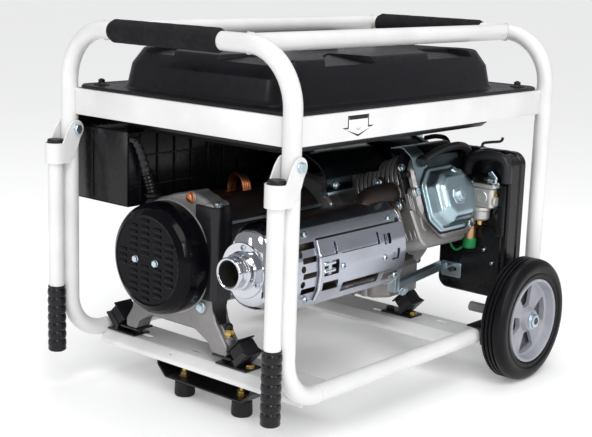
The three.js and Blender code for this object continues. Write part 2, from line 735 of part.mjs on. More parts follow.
// Rolled sheet with closed ends that turns the fan's air down over the barrel.
function coolingShroud() {
  const [y, z, outer] = [-30, 350, 56];
  const point = (radius, angle) => [
    y + radius * Math.cos(angle * Math.PI / 180), z + radius * Math.sin(angle * Math.PI / 180)];
  const angles = [...Array(10).keys()].map((i) => 25 + 13 * i);
  const rim = angles.map((angle) => point(outer, angle));
  const sheet = [...rim, ...angles.map((angle) => point(outer - SHEET, angle)).reverse()];
  return join(
    prism("x", polygon(sheet), 128, 262), prism("x", polygon(rim), 128, 130),
    prism("x", polygon(rim), 260, 262));
}

function fanHousing() {
  const [back, front] = FAN_X;
  return lathe("x", [
    [FAN_R - SHEET, back], [FAN_R, back], [FAN_R, front - 10], [FAN_R - 10, front],
    [62, front], [62, front - SHEET], [FAN_R - 11.2, front - SHEET],
    [FAN_R - SHEET, front - 11.2], [FAN_R - SHEET, back]], LINE, 28);
}

function recoilCover() {
  const [back, front] = [FAN_X[1] + GAP, 324];
  const dish = lathe("x", [
    [0, front], [66, front], [78, front - 10], [78, back], [75, back],
    [75, front - 11.2], [64.8, front - SHEET], [0, front - SHEET]], LINE, 24);
  const slots = [];
  for (let i = 0; i < 12; i++) {
    const angle = Math.PI / 6 * (i + 0.5);
    const slot = box(front - 6, front + 2, -3, 3, -11, 11);
    slot.rotateX(angle);
    slots.push(slot.translate(
      0, AXIS_Y - 44 * Math.sin(angle), AXIS_Z + 44 * Math.cos(angle)));
  }
  return cut(dish, ...slots);
}

function recoilHandle() {
  const [y, z] = [AXIS_Y, AXIS_Z - 18];
  return join(
    rod([324.3, y, z], [338, y, z], 9, 12),
    rod([341, y - 42, z], [341, y + 42, z], 10, 12));
}

function carburettor() {
  const [x0, x1] = [222, AIR_X[0] - GAP];
  const middle = x0 + 11.5;
  return join(
    box(x0, x1, CARB_Y - 69, CARB_Y + 24, CARB_Z - 24, CARB_Z + 40),
    rod([middle, BOWL_Y - 12, CARB_Z - 42], [middle, BOWL_Y - 12, CARB_Z - 20], 11, 14),
    rod([middle, BOWL_Y + 7, CARB_Z - 68], [middle, BOWL_Y + 7, CARB_Z - 20], 10, 12),
    rod([middle, BOWL_Y + 7, CARB_Z - 88], [middle, BOWL_Y + 7, CARB_Z - 66], 11.4, 12));
}

// Bent rod that turns on top of the air cleaner.
function chokeLever() {
  const low = AIR_Z[1] + GAP;
  const [x, y] = CHOKE;
  return join(
    rod([x, y, low], [x, y, low + 3], 7, 12),
    rod([x, y, low + 2], [x, y, low + 10], 2.6, 8),
    rod([x - 2, y + 0.6, low + 8], [x + 44, y - 12.4, low + 8], 2.6, 8),
    rod([x + 42, y - 11.8, low + 7], [x + 46, y - 13, low + 16], 2.6, 8));
}

function airCleaner() {
  const shape = roundRect(AIR_Y[0], AIR_Y[1], AIR_Z[0], AIR_Z[1], 20);
  const [back, front] = AIR_X;
  const inner = roundRect(AIR_Y[0] + 3, AIR_Y[1] - 3, AIR_Z[0] + 3, AIR_Z[1] - 3, 17);
  const throat = rod([back - 2, CARB_Y, CARB_Z], [back + 5, CARB_Y, CARB_Z], 14, 16);
  return cut(
    prism("x", shape, back, front), prism("x", inner, back + 3, front - 3), throat);
}

function supportStrut() {
  const bar = prism("y", polygon([
    [161, 70], [176, 222], [176, AIR_X[0] - GAP], [179, AIR_X[0] - GAP], [179, 221],
    [164, 70]]), -132, -116);
  return join(bar, box(68, 71, -132, -116, 161, 206), box(
    AIR_X[0] - GAP - 2.5, AIR_X[0] - GAP, -138, -116, 150, 186));
}

add("crankcase", crankcase(), CAST);
add("cylinder_head", cylinderHead(), CAST);
add("valve_cover", valveCover(), SATIN_STEEL);
add("cooling_shroud", coolingShroud(), ZINC);
add("fan_housing", fanHousing(), BLACK);
add("recoil_cover", recoilCover(), BLACK);
add("recoil_handle", recoilHandle(), DARK_PLASTIC);
add("carburettor", carburettor(), CAST);
add("choke_lever", chokeLever(), ZINC);
add("air_cleaner", airCleaner(), BLACK);
add("air_cleaner_strut", supportStrut(), ZINC);

// ---------------------------------------------------------------- muffler
// Hollow rounded body, drawn in towards the outlet in three steps, with the exhaust
// elbow welded into its top.
function muffler() {
  const section = (inset) => {
    const [y, z] = MUFFLER_HALF.map((half) => half - inset);
    return roundRect(MUFFLER_Y - y, MUFFLER_Y + y, MUFFLER_Z - z, MUFFLER_Z + z, y - 3);
  };
  const [x0, x1] = MUFFLER_X;
  const outer = join(
    prism("x", section(20), x0, x1, 4), prism("x", section(9), x0 + 9, x1, 4),
    prism("x", section(2), x0 + 20, x1, 4), prism("x", section(0), x0 + 32, x1, 5));
  const inner = prism("x", section(2), x0 + 34, x1 - 2, 5);
  const port = rod([x0 - 2, MUFFLER_Y, PIPE_Z], [x0 + 36, MUFFLER_Y, PIPE_Z], 18, 16);
  const elbow = bentTube([
    [66 - GAP, MUFFLER_Y, ELBOW_Z], [-20, MUFFLER_Y, ELBOW_Z],
    [-20, MUFFLER_Y, ELBOW_Z - 30]], [21], 20, 16, 4);
  return cut(outer.add(solid(elbow)), inner, port);
}

function mufflerOutlet() {
  const [out, plate] = [-330, MUFFLER_X[0] - GAP];
  const centre = [MUFFLER_Y, PIPE_Z];
  return lathe("x", [
    [19.5, out], [24.8, out], [24.8, -313], [28, -312], [28, plate - 4], [43, plate - 3],
    [43, plate], [19.5, plate], [19.5, out]], centre, 24);
}

// Curved guard in front of the muffler, standing on four studs.
function mufflerShield() {
  const outer = [
    [-138, 324], [-153, 315], [-167, 299], [-176, 272], [-178, 250], [-175, 222],
    [-166, 201], [-153, 189], [-140, 183]];
  const towards = (value, middle) => value + 1.8 * Math.sign(middle - value);
  const inner = outer.map(([y, z]) => [towards(y, MUFFLER_Y), towards(z, MUFFLER_Z)]);
  const plate = prism("x", polygon([...outer, ...inner.reverse()]), -262, 25);
  const studs = [];
  for (const x of [-190, 0]) {
    for (const z of [222, 270]) {
      const face = MUFFLER_Y - MUFFLER_HALF[0] - GAP;
      studs.push(rod([x, -175, z], [x, face, z], 4, 8));
    }
  }
  const slots = [];
  for (let i = 0; i < 4; i++) {
    const x = -186 + i * 50;
    slots.push(box(x, x + 34, -190, -165, 243, 251));
  }
  return cut(join(plate, ...studs), ...slots);
}

add("muffler", muffler(), SATIN_STEEL);
add("muffler_outlet", mufflerOutlet(), CHROME);
add("muffler_shield", mufflerShield(), CHROME);

// ---------------------------------------------------------------- control panel
const LID_X = [-230, -120];
const LID_Z = 388;
const KEY = [20, 395];
const BREAKER = [-30, 395];

// Sheet box open toward the operator, hung under the tank shelf.
function panelCase() {
  const outer = box(...PANEL_X, ...PANEL_Y, ...PANEL_Z);
  const inner = box(
    PANEL_X[0] + SHEET, PANEL_X[1] - SHEET, PANEL_Y[0] + SHEET, PANEL_Y[1] + 1,
    PANEL_Z[0] + SHEET, PANEL_Z[1] - SHEET);
  return cut(outer, inner);
}

function panelFace() {
  const [x0, x1] = PANEL_X;
  const [z0, z1] = [PANEL_Z[0], SHELF_Z[0] - GAP];
  const sockets = LID_X.map((x) => rod([x, 205, LID_Z], [x, FACE_Y + 3, LID_Z], 29, 20));
  const key = rod([KEY[0], 215, KEY[1]], [KEY[0], FACE_Y + 2, KEY[1]], 14, 16);
  const plate = join(box(x0, x1, PANEL_Y[1] + GAP, FACE_Y, z0, z1), ...sockets, key);
  const wells = LID_X.map((x) => rod([x, FACE_Y - 22, LID_Z], [x, FACE_Y + 9, LID_Z], 24, 20));
  const slot = box(BREAKER[0] - 9, BREAKER[0] + 9, 240, 260, BREAKER[1] - 16, BREAKER[1] + 16);
  return cut(plate, ...wells, slot);
}

function outletLid(x) {
  const back = FACE_Y + 3 + GAP;
  const lid = rod([x, back, LID_Z], [x, back + 4, LID_Z], 30, 20);
  const knuckle = rod([x - 16, back + 2, LID_Z + 34], [x + 16, back + 2, LID_Z + 34], 4, 10);
  return join(lid, knuckle, box(x - 12, x + 12, back, back + 3.5, LID_Z + 20, LID_Z + 34));
}

function ignitionKey() {
  const back = FACE_Y + 2 + GAP;
  return join(
    rod([KEY[0], back, KEY[1]], [KEY[0], back + 4, KEY[1]], 9, 16),
    box(KEY[0] - 3, KEY[0] + 3, back + 3, back + 22, KEY[1] - 12, KEY[1] + 12));
}

function breakerSwitch() {
  const [x, z] = BREAKER;
  return join(
    rod([x - 8.4, 245, z], [x + 8.4, 245, z], 8, 16),
    box(x - 6, x + 6, 246, 259, z - 2, z + 5));
}

add("panel_case", panelCase(), DARK_STEEL);
add("panel_face", panelFace(), DARK_PLASTIC);
add("outlet_lid_left", outletLid(LID_X[0]), GREY_PLASTIC);
add("outlet_lid_right", outletLid(LID_X[1]), GREY_PLASTIC);
add("ignition_key", ignitionKey(), DARK_PLASTIC);
add("breaker_switch", breakerSwitch(), RED_PLASTIC);

export default model;
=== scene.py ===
from math import copysign, cos, pi, radians, sin, sqrt, tan
import bmesh
import bpy
from mathutils import Matrix, Vector


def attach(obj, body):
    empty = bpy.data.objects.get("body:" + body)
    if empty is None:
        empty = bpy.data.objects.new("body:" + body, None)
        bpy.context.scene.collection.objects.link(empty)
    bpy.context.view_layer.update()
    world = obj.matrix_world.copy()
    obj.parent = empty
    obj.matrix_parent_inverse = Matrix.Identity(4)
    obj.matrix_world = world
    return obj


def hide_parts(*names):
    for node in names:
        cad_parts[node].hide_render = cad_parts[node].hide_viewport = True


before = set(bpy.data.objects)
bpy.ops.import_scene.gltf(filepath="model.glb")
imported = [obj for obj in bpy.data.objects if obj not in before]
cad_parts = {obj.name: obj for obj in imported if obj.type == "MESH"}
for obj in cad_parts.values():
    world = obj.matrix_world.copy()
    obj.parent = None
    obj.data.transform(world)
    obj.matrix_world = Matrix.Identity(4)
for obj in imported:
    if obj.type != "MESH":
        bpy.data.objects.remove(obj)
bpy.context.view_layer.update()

# Lengths are millimetres, with x = 0 midway between the end tubes; Piece.done moves each mesh
# by SHIFT into the part's own frame and makes it metres.
# The near side is -Y (muffler), the far side +Y (panel), lift handles at -X, wheels at +X.
MM = 0.001
SHIFT = 14.25


# ------------------------------------------------------------------ materials
def new_material(name, color, rough, metal=0.0, **shader):
    """A Principled material; shader sets plain sockets such as coat or sheen."""
    mat = bpy.data.materials.new(name)
    mat.use_nodes = True
    bsdf = mat.node_tree.nodes["Principled BSDF"]
    bsdf.inputs["Base Color"].default_value = (*color, 1)
    bsdf.inputs["Roughness"].default_value = rough
    bsdf.inputs["Metallic"].default_value = metal
    for key, value in shader.items():
        bsdf.inputs[key.replace("_", " ").title().replace("Ior", "IOR")].default_value = value
    return mat


class Nodes:
    """Small helper that wires procedural detail into a material."""

    def __init__(self, mat):
        self.tree = mat.node_tree
        self.bsdf = self.tree.nodes["Principled BSDF"]
        self.where = self.add("ShaderNodeTexCoord").outputs["Object"]
        self.height = None

    def add(self, kind, **props):
        node = self.tree.nodes.new(kind)
        for key, value in props.items():
            setattr(node, key, value)
        return node

    def link(self, out, into):
        self.tree.links.new(out, into)

    def stretched(self, scale):
        mapping = self.add("ShaderNodeMapping")
        self.link(self.where, mapping.inputs["Vector"])
        mapping.inputs["Scale"].default_value = scale
        return mapping.outputs["Vector"]

    def noise(self, scale, detail=3.0, rough=0.55, stretch=None):
        node = self.add("ShaderNodeTexNoise")
        self.link(self.stretched(stretch) if stretch else self.where, node.inputs["Vector"])
        node.inputs["Scale"].default_value = scale
        node.inputs["Detail"].default_value = detail
        node.inputs["Roughness"].default_value = rough
        return node.outputs["Fac"]

    def cells(self, scale):
        node = self.add("ShaderNodeTexVoronoi")
        self.link(self.where, node.inputs["Vector"])
        node.inputs["Scale"].default_value = scale
        return node.outputs["Distance"]

    def ramp(self, fac, stops):
        node = self.add("ShaderNodeValToRGB")
        self.link(fac, node.inputs["Fac"])
        elements = node.color_ramp.elements
        while len(elements) < len(stops):
            elements.new(0.5)
        for element, (place, color) in zip(elements, stops):
            element.position = place
            grey = not hasattr(color, "__len__")
            element.color = (color, color, color, 1) if grey else (*color, 1)
        return node.outputs["Color"]

    def tint(self, fac, low, high, start=0.35, end=0.65):
        """Base colour that wanders between two colours."""
        self.link(self.ramp(fac, [(start, low), (end, high)]), self.bsdf.inputs["Base Color"])

    def gloss(self, fac, low, high):
        self.link(self.ramp(fac, [(0.35, low), (0.65, high)]), self.bsdf.inputs["Roughness"])

    def bump(self, fac, depth):
        """Adds a bump of this depth in millimetres over what is there already."""
        node = self.add("ShaderNodeBump")
        node.inputs["Strength"].default_value = 1
        node.inputs["Distance"].default_value = depth * MM
        self.link(fac, node.inputs["Height"])
        if self.height is not None:
            self.link(self.height, node.inputs["Normal"])
        self.height = node.outputs["Normal"]
        self.link(self.height, self.bsdf.inputs["Normal"])


def shade(color, factor):
    return tuple(min(1.0, c * factor) for c in color)


def surface(name, color, rough, metal, tint, gloss, bumps, **shader):
    """Wandering colour and gloss over layers of bump; each noise is (scale, detail, rough)."""
    mat = new_material(name, color, rough, metal, **shader)
    n = Nodes(mat)
    noise, low, high, *span = tint
    n.tint(n.noise(*noise), shade(color, low), shade(color, high), *span)
    noise, low, high = gloss
    n.gloss(n.noise(*noise), rough * low, min(1, rough * high))
    for noise, depth in bumps:
        n.bump(n.noise(*noise) if len(noise) > 1 else n.cells(*noise), depth)
    return mat


def painted(name, color, rough, peel=0.06, coat=0.25, spread=0.06, shine=0.5):
    """Sprayed enamel: orange peel, faint cloudiness and handling marks."""
    return surface(name, color, rough, 0, ((9, 4), 1 - spread, 1 + spread),
                   ((60, 5, 0.7), 0.85, 1.25), [((420, 2), peel)],
                   coat_weight=coat, coat_roughness=0.12, specular_ior_level=shine)


def plastic(name, color, rough, grain=0.05, scale=900, shine=0.35):
    return surface(name, color, rough, 0, ((25, 3), 0.9, 1.12), ((140, 4), 0.85, 1.2),
                   [((scale,), grain)], specular_ior_level=shine)


def rubber(name, color, rough, grain=0.12, scale=700, shine=0.3):
    return surface(name, color, rough, 0, ((18, 6, 0.7), 1, 1.8, 0.45, 0.85),
                   ((90, 4), 0.88, 1.1), [((scale, 3, 0.7), grain)],
                   sheen_weight=0.01, sheen_roughness=0.4, specular_ior_level=shine)


def cast(name, color, rough, grain=0.28):
    """Sand-cast light alloy: pebbled skin with colour that wanders darker and lighter."""
    return surface(name, color, rough, 0.6, ((14, 6, 0.65), 0.82, 1.12, 0.3, 0.7),
                   ((60, 5, 0.6), 0.8, 1.25), [((260, 4, 0.65), grain), ((22, 2), grain * 1.5)])


def plated(name, color, rough, wave=0.05, tone=0.92):
    """Plated steel: nearly smooth, with faint ripples and stains."""
    return surface(name, color, rough, 1, ((12, 3), tone, 1.04), ((14, 2), 0.94, 1.08),
                   [((16, 1), wave), ((380, 3), wave)])


def rolled(name, color, rough, stretch):
    """Sheet steel with fine rolling lines along one direction."""
    return surface(name, color, rough, 1, ((12, 5, 0.6), 0.8, 1.12), ((55, 4, 0.6), 0.75, 1.3),
                   [((160, 2, 0.5, stretch), 0.05)])


def heat_tinted():
    """Muffler skin under the guard: brown, straw and blue bands over dull steel."""
    mat = new_material("muffler_skin", (0.1, 0.08, 0.07), 0.42, 0.95)
    n = Nodes(mat)
    n.link(n.ramp(n.noise(7, 5, 0.6, (0.35, 1, 1)), [
        (0.28, (0.05, 0.038, 0.034)), (0.45, (0.10, 0.07, 0.055)),
        (0.58, (0.15, 0.12, 0.1)), (0.75, (0.08, 0.075, 0.085))]), n.bsdf.inputs["Base Color"])
    n.gloss(n.noise(70, 5, 0.7), 0.3, 0.55)
    n.bump(n.noise(300, 3), 0.08)
    return mat


def laminated():
    """Stacked stator sheets under dark red-brown varnish, with runs of varnish along X."""
    mat = new_material("stator_varnish", (0.04, 0.03, 0.03), 0.3, 0.4, coat_weight=0.4)
    n = Nodes(mat)
    n.tint(n.noise(11, 6, 0.7, (0.2, 1, 1)), (0.016, 0.014, 0.015), (0.075, 0.055, 0.048),
           0.35, 0.75)
    wave = n.add("ShaderNodeTexWave", wave_type="BANDS", bands_direction="X")
    n.link(n.where, wave.inputs["Vector"])
    wave.inputs["Scale"].default_value = 160
    wave.inputs["Distortion"].default_value = 0.6
    n.bump(wave.outputs["Fac"], 0.25)
    n.bump(n.noise(90, 4, 0.6), 0.2)
    return mat


WHITE = painted("white_powder_coat", (0.75, 0.75, 0.745), 0.34, coat=0.15)
SEAM = painted("white_weld_seam", (0.62, 0.61, 0.58), 0.45, peel=0.2)
TANK = painted("tank_black", (0.006, 0.006, 0.0085), 0.3, peel=0.001, coat=0, spread=0.15,
               shine=0.25)
DUCT = rubber("duct_rubber", (0.018, 0.018, 0.02), 0.34, 0.03)
BLACK = painted("black_enamel", (0.008, 0.008, 0.010), 0.32, coat=0, spread=0.2, shine=0.38)
GLOSS = painted("gloss_black_cover", (0.003, 0.003, 0.0045), 0.13, peel=0.005, coat=0,
                spread=0.2, shine=0.1)
MOULDED = plastic("black_moulding", (0.0035, 0.0035, 0.0045), 0.24, 0.003, shine=0.3)
MATT_BLACK = plastic("matt_black_moulding", (0.007, 0.007, 0.008), 0.42, 0.02)
GRIP = plastic("handle_grip_black", (0.0055, 0.0055, 0.007), 0.28, 0.02, 500, 0.3)
RIM = plastic("grey_rim_moulding", (0.33, 0.335, 0.375), 0.42, 0.06)
GREY = plastic("grey_lid_moulding", (0.2, 0.205, 0.215), 0.38)
RED = plastic("red_moulding", (0.42, 0.012, 0.01), 0.35)
GREEN = plastic("green_moulding", (0.008, 0.2, 0.05), 0.33)
FOAM = rubber("grip_foam", (0.006, 0.006, 0.008), 0.92, 0.35, 1400)
RUBBER = rubber("black_rubber", (0.007, 0.007, 0.008), 0.55)
TYRE = rubber("tyre_rubber", (0.0045, 0.0045, 0.0055), 0.36, 0.06, 900, 0.15)
CAST = cast("cast_alloy", (0.36, 0.35, 0.345), 0.38, 0.1)
# A darker copy of the cast alloy: painted shade for the crankcase, the barrel core, the head block
# and the port elbow.
SHADED_CAST = cast("shaded_cast_alloy", (0.27, 0.258, 0.25), 0.42, 0.16)
BELL = cast("bracket_alloy", (0.25, 0.242, 0.24), 0.4, 0.12)
CARB = cast("carburettor_alloy", (0.56, 0.55, 0.52), 0.36, 0.12)
CHROME = plated("bright_chrome", (0.62, 0.63, 0.68), 0.07, 0.01)
GUARD = plated("guard_plating", (0.5, 0.52, 0.59), 0.26, 0.001)
# Darker moulding behind the rim's windows: painted shade seen through them.
RIM_SHADE = plastic("rim_shadow_moulding", (0.13, 0.13, 0.155), 0.5)
ZINC = plated("blue_zinc", (0.55, 0.66, 0.72), 0.33, 0.01)
COVER_ZINC = plated("cover_blue_zinc", (0.42, 0.55, 0.61), 0.3, 0.004, 0.85)
SHROUD = plated("dark_blue_zinc", (0.07, 0.095, 0.105), 0.22, 0.01, 0.7)
GOLD = plated("yellow_zinc", (0.6, 0.42, 0.14), 0.3)
BRASS = plated("brass", (0.62, 0.38, 0.14), 0.26)
COPPER = plated("copper", (0.55, 0.2, 0.09), 0.3)
LIGHT_BRONZE = plated("light_bronze", (0.5, 0.3, 0.18), 0.34)
RUST = plated("red_brown_varnish", (0.16, 0.035, 0.02), 0.35)
STEEL = rolled("dark_rolled_steel", (0.12, 0.11, 0.11), 0.42, (1, 6, 1))
BRONZE = cast("hot_exhaust_casting", (0.045, 0.034, 0.03), 0.42, 0.3)
# Soot lining the tail pipe's bore; the same dark is painted shade in the gaps between cooling
# fins.
SOOT_AND_SHADE = rubber("sooty_bore_and_fin_gap_shade", (0.01, 0.009, 0.008), 0.8)
SKIN = heat_tinted()
STATOR = laminated()
# Black print for marks; the same black is painted shade where it fills slots, recesses and
# openings.
INK_AND_SHADE = plastic("black_print_and_painted_shade", (0.008, 0.008, 0.008), 0.5, 0.01)
PAPER = plastic("white_print", (0.86, 0.86, 0.84), 0.4, 0.01)


# ------------------------------------------------------------------ shapes as point lists
def arc(cu, cv, radius, start, end, steps):
    """Points of a circular arc, angles in degrees."""
    turn = [radians(start + (end - start) * i / steps) for i in range(steps + 1)]
    return [(cu + radius * cos(a), cv + radius * sin(a)) for a in turn]


def ring(cu, cv, radius, steps=24):
    return arc(cu, cv, radius, 0, 360, steps)[:-1]


def rounded(points, radius, steps=4, closed=True):
    """Rounds the corners of an outline; radius is one number or one per corner."""
    count = len(points)
    out = []
    for i, point in enumerate(points):
        r = radius[i] if hasattr(radius, "__len__") else radius
        if r <= 0 or (not closed and i in (0, count - 1)):
            out.append(point)
            continue
        here = Vector(point)
        back = Vector(points[i - 1]) - here
        ahead = Vector(points[(i + 1) % count]) - here
        half = back.angle(ahead) / 2
        if half > 1.55:
            out.append(point)
            continue
        reach = min(r / tan(half), 0.49 * back.length, 0.49 * ahead.length)
        r = reach * tan(half)
        centre = here + (back.normalized() + ahead.normalized()).normalized() * r / sin(half)
        first = here + back.normalized() * reach - centre
        last = here + ahead.normalized() * reach - centre
        for s in range(steps + 1):
            arm = first.lerp(last, s / steps)
            out.append(tuple(centre + arm.normalized() * r))
    return out


def box_outline(u0, u1, v0, v1, radius=0.0, steps=5):
    return rounded([(u0, v0), (u1, v0), (u1, v1), (u0, v1)], radius, steps)


def bent(corners, radii, step=7.0):
    """Centre line of a bent tube: straight runs with round corners of the given radii."""
    points = [Vector(c) for c in corners]
    out = [points[0]]
    for i in range(1, len(points) - 1):
        radius = radii[i - 1] if hasattr(radii, "__len__") else radii
        back = (points[i - 1] - points[i]).normalized()
        ahead = (points[i + 1] - points[i]).normalized()
        half = back.angle(ahead) / 2
        reach = radius / tan(half)
        centre = points[i] + (back + ahead).normalized() * radius / sin(half)
        first = points[i] + back * reach - centre
        last = points[i] + ahead * reach - centre
        steps = max(3, int(radius * (pi - 2 * half) / step))
        axis = first.cross(last).normalized()
        for s in range(steps + 1):
            turn = Matrix.Rotation((pi - 2 * half) * s / steps, 3, axis)
            out.append(centre + turn @ first)
    out.append(points[-1])
    return out


def curl(points, step=6.0):
    """Smooth line through a few points (Catmull-Rom)."""
    p = [Vector(q) for q in points]
    p = [2 * p[0] - p[1]] + p + [2 * p[-1] - p[-2]]
    out = []
    for a, b, c, d in zip(p, p[1:], p[2:], p[3:]):
        count = max(2, int((c - b).length / step))
        for s in range(count):
            t = s / count
            out.append(0.5 * ((2 * b) + (c - a) * t + (2 * a - 5 * b + 4 * c - d) * t * t
                              + (3 * b - a - 3 * c + d) * t ** 3))
    out.append(p[-2])
    return out


LEFT, RIGHT, FAR, UP = (-1, 0, 0), (1, 0, 0), (0, 1, 0), (0, 0, 1)
AXES = {
    "x": Matrix(((0, 0, 1), (1, 0, 0), (0, 1, 0))),
    "y": Matrix(((0, 1, 0), (0, 0, 1), (1, 0, 0))),
    "z": Matrix.Identity(3),
}


def toward(direction):
    """Rotation that carries local Z to a direction."""
    return Vector((0, 0, 1)).rotation_difference(Vector(direction)).to_matrix()


class Piece:
    """Collects solids of several materials into one object."""

    def __init__(self, name):
        self.name = name
        self.mesh = bmesh.new()
        self.materials = []

    def _slot(self, mat):
        if mat not in self.materials:
            self.materials.append(mat)
        return self.materials.index(mat)

    def _place(self, verts, faces, mat, turn, origin):
        turn = turn or Matrix.Identity(3)
        origin = Vector(origin)
        made = [self.mesh.verts.new(turn @ Vector(v) + origin) for v in verts]
        built = [self.mesh.faces.new([made[i] for i in face]) for face in faces]
        for face in built:
            face.material_index = self._slot(mat)
        return built

    def loft(self, sections, mat, turn=None, origin=(0, 0, 0), cap=True, closed=False):
        """Joins rings of equally many points."""
        count = len(sections[0])
        verts = [p for section in sections for p in section]
        faces = []
        rows = len(sections)
        for i in range(rows if closed else rows - 1):
            a, b = i * count, (i + 1) % rows * count
            for j in range(count):
                k = (j + 1) % count
                faces.append((a + j, a + k, b + k, b + j))
        if cap and not closed:
            faces.append(tuple(reversed(range(count))))
            faces.append(tuple(range((rows - 1) * count, rows * count)))
        return self._place(verts, faces, mat, turn, origin)

    def prism(self, outline, low, high, mat, bevel=0.8, axis="z", turn=None, origin=(0, 0, 0)):
        """Outline pushed along an axis, with small bevels on both rims."""
        bevel = min(bevel, abs(high - low) * 0.45)
        base = AXES[axis] if turn is None else turn
        flat = [Vector(p) for p in outline]
        if sum(a.x * b.y - b.x * a.y for a, b in zip(flat, flat[1:] + flat[:1])) < 0:
            flat.reverse()
        inner = inset(flat, bevel) if bevel > 0 else flat
        levels = [(low, inner), (low + bevel, flat), (high - bevel, flat), (high, inner)]
        if bevel <= 0:
            levels = [(low, flat), (high, flat)]
        sections = [[(p.x, p.y, z) for p in shape] for z, shape in levels]
        return self.loft(sections, mat, base, origin)

    def leaning(self, outline, low, high, mat, bevel=0.8):
        """Prism along the leaning cylinder, measured from the crankshaft."""
        return self.prism(outline, low, high, mat, bevel, turn=CYL, origin=AXIS)

    def box(self, x, y, z, mat, bevel=0.8, turn=None, origin=(0, 0, 0)):
        """Box from three (low, high) spans."""
        faces = self.prism(box_outline(*x, *y), *z, mat, 0, turn=turn, origin=origin)
        if bevel > 0:
            edges = {e for f in faces for e in f.edges}
            bmesh.ops.bevel(self.mesh, geom=list(edges), offset=bevel, segments=2,
                            profile=0.5, affect="EDGES", clamp_overlap=True,
                            material=self._slot(mat))

    def lathe(self, profile, mat, axis="z", origin=(0, 0, 0), turn=None, sides=48, soft=0.0,
              start=0.0, sweep=360.0):
        """Turns (radius, along) points about an axis; a profile off the axis is closed."""
        hollow = all(r > 1e-6 for r, _ in profile)
        if soft > 0:
            profile = rounded(profile, soft, 3, closed=hollow)
        base = AXES[axis] if turn is None else turn
        whole = sweep >= 360
        steps = sides if whole else max(3, int(sides * sweep / 360))
        angles = [radians(start + sweep * i / steps) for i in range(steps + (not whole))]
        verts, index = [], []
        for radius, along in profile:
            if radius < 1e-6:
                index.append([len(verts)] * len(angles))
                verts.append((0, 0, along))
                continue
            index.append(list(range(len(verts), len(verts) + len(angles))))
            verts += [(radius * cos(a), radius * sin(a), along) for a in angles]
        faces = []
        pairs = list(zip(index, index[1:])) + ([(index[-1], index[0])] if hollow else [])
        for row, after in pairs:
            for j in range(len(angles) - (not whole)):
                k = (j + 1) % len(angles)
                corners = [row[j], row[k], after[k], after[j]]
                unique = list(dict.fromkeys(corners))
                if len(unique) > 2:
                    faces.append(tuple(unique))
        if not whole:
            faces.append(tuple(row[0] for row in index))
            faces.append(tuple(reversed([row[-1] for row in index])))
        return self._place(verts, faces, mat, base, origin)

    def turned(self, profile, mat, sides, soft=0.0):
        """Lathe about the crankshaft, from (radius, x) points."""
        self.lathe(profile, mat, axis="x", origin=AXIS, sides=sides, soft=soft)

    def tube(self, path, radius, mat, sides=20, cap=True):
        """Round tube along points, closed to a loop if it has no cap.

        The radius is a number or a function of 0..1 along the path.
        """
        path = [Vector(p) for p in path]
        size = radius if callable(radius) else lambda t: radius
        sections = []
        count = len(path)
        tangent = (path[1] - (path[0] if cap else path[-1])).normalized()
        side = tangent.orthogonal().normalized()
        for i, point in enumerate(path):
            ahead = (path[min(i + 1, count - 1)] - path[max(i - 1, 0)] if cap
                     else path[(i + 1) % count] - path[i - 1])
            following = ahead.normalized()
            side = tangent.rotation_difference(following) @ side
            tangent = following
            other = tangent.cross(side)
            r = size(i / (count - 1))
            rim = ring(0, 0, r, sides)
            sections.append([point + side * u + other * v for u, v in rim])
        return self.loft(sections, mat, cap=cap, closed=not cap)

    def rod(self, a, b, radius, mat, bevel=0.6, sides=24):
        a, b = Vector(a), Vector(b)
        length = (b - a).length
        bevel = min(bevel, radius * 0.4, length * 0.4)
        profile = [(0, 0), (radius - bevel, 0), (radius, bevel),
                   (radius, length - bevel), (radius - bevel, length), (0, length)]
        return self.lathe(profile, mat, turn=toward(b - a), origin=a, sides=sides)

    def bolt(self, at, out, size, mat, washer=1.9, height=None, tail=0.0):
        """Hex head with a flange or washer; size is the thread radius."""
        turn = toward(out)
        thick = size * 0.4
        self.lathe([(0, 0), (size * washer, 0), (size * washer, thick * 0.6),
                    (size * washer - thick * 0.4, thick), (0, thick)],
                   mat, turn=turn, origin=at, sides=20)
        tall = height or size * 1.25
        flats = ring(0, 0, size * 1.72, 6)
        shy = [(u * 0.88, v * 0.88) for u, v in flats]
        levels = [(thick * 0.9, flats), (thick + tall * 0.82, flats), (thick + tall, shy)]
        self.loft([[(u, v, z) for u, v in shape] for z, shape in levels], mat, turn, at)
        if tail > 0:
            tip = thick + tall + tail
            self.lathe([(0, thick), (size * 0.95, thick), (size * 0.95, tip - 0.8),
                        (size * 0.7, tip), (0, tip)], mat, turn=turn, origin=at, sides=14)

    def screw(self, at, out, radius, mat):
        """Low pan-head screw with a cross recess drawn as a flat black cross of painted shade."""
        turn = toward(out)
        self.lathe([(0, 0), (radius, 0), (radius, radius * 0.25), (radius * 0.72, radius * 0.6),
                    (0, radius * 0.68)], mat, turn=turn, origin=at, sides=18)
        for du, dv in ((0.62, 0.12), (0.12, 0.62)):
            self.box((-radius * du, radius * du), (-radius * dv, radius * dv),
                     (radius * 0.6, radius * 0.72), INK_AND_SHADE, 0, turn=turn, origin=at)

    def done(self, body, slot, *replaced, smooth=35.0, cutters=()):
        """Makes the object, lets it ride on a body and stand for CAD nodes."""
        bmesh.ops.recalc_face_normals(self.mesh, faces=self.mesh.faces)
        data = bpy.data.meshes.new(self.name)
        self.mesh.transform(Matrix.Scale(MM, 4) @ Matrix.Translation((SHIFT, 0, 0)))
        self.mesh.to_mesh(data)
        self.mesh.free()
        obj = bpy.data.objects.new(self.name, data)
        bpy.context.scene.collection.objects.link(obj)
        for mat in self.materials:
            data.materials.append(mat)
        for tool in cutters:
            carve(obj, tool)
        obj.data.shade_smooth()
        obj.data.set_sharp_from_angle(angle=radians(smooth))
        if body:
            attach(obj, body)
        if replaced:
            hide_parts(*replaced)
        return obj


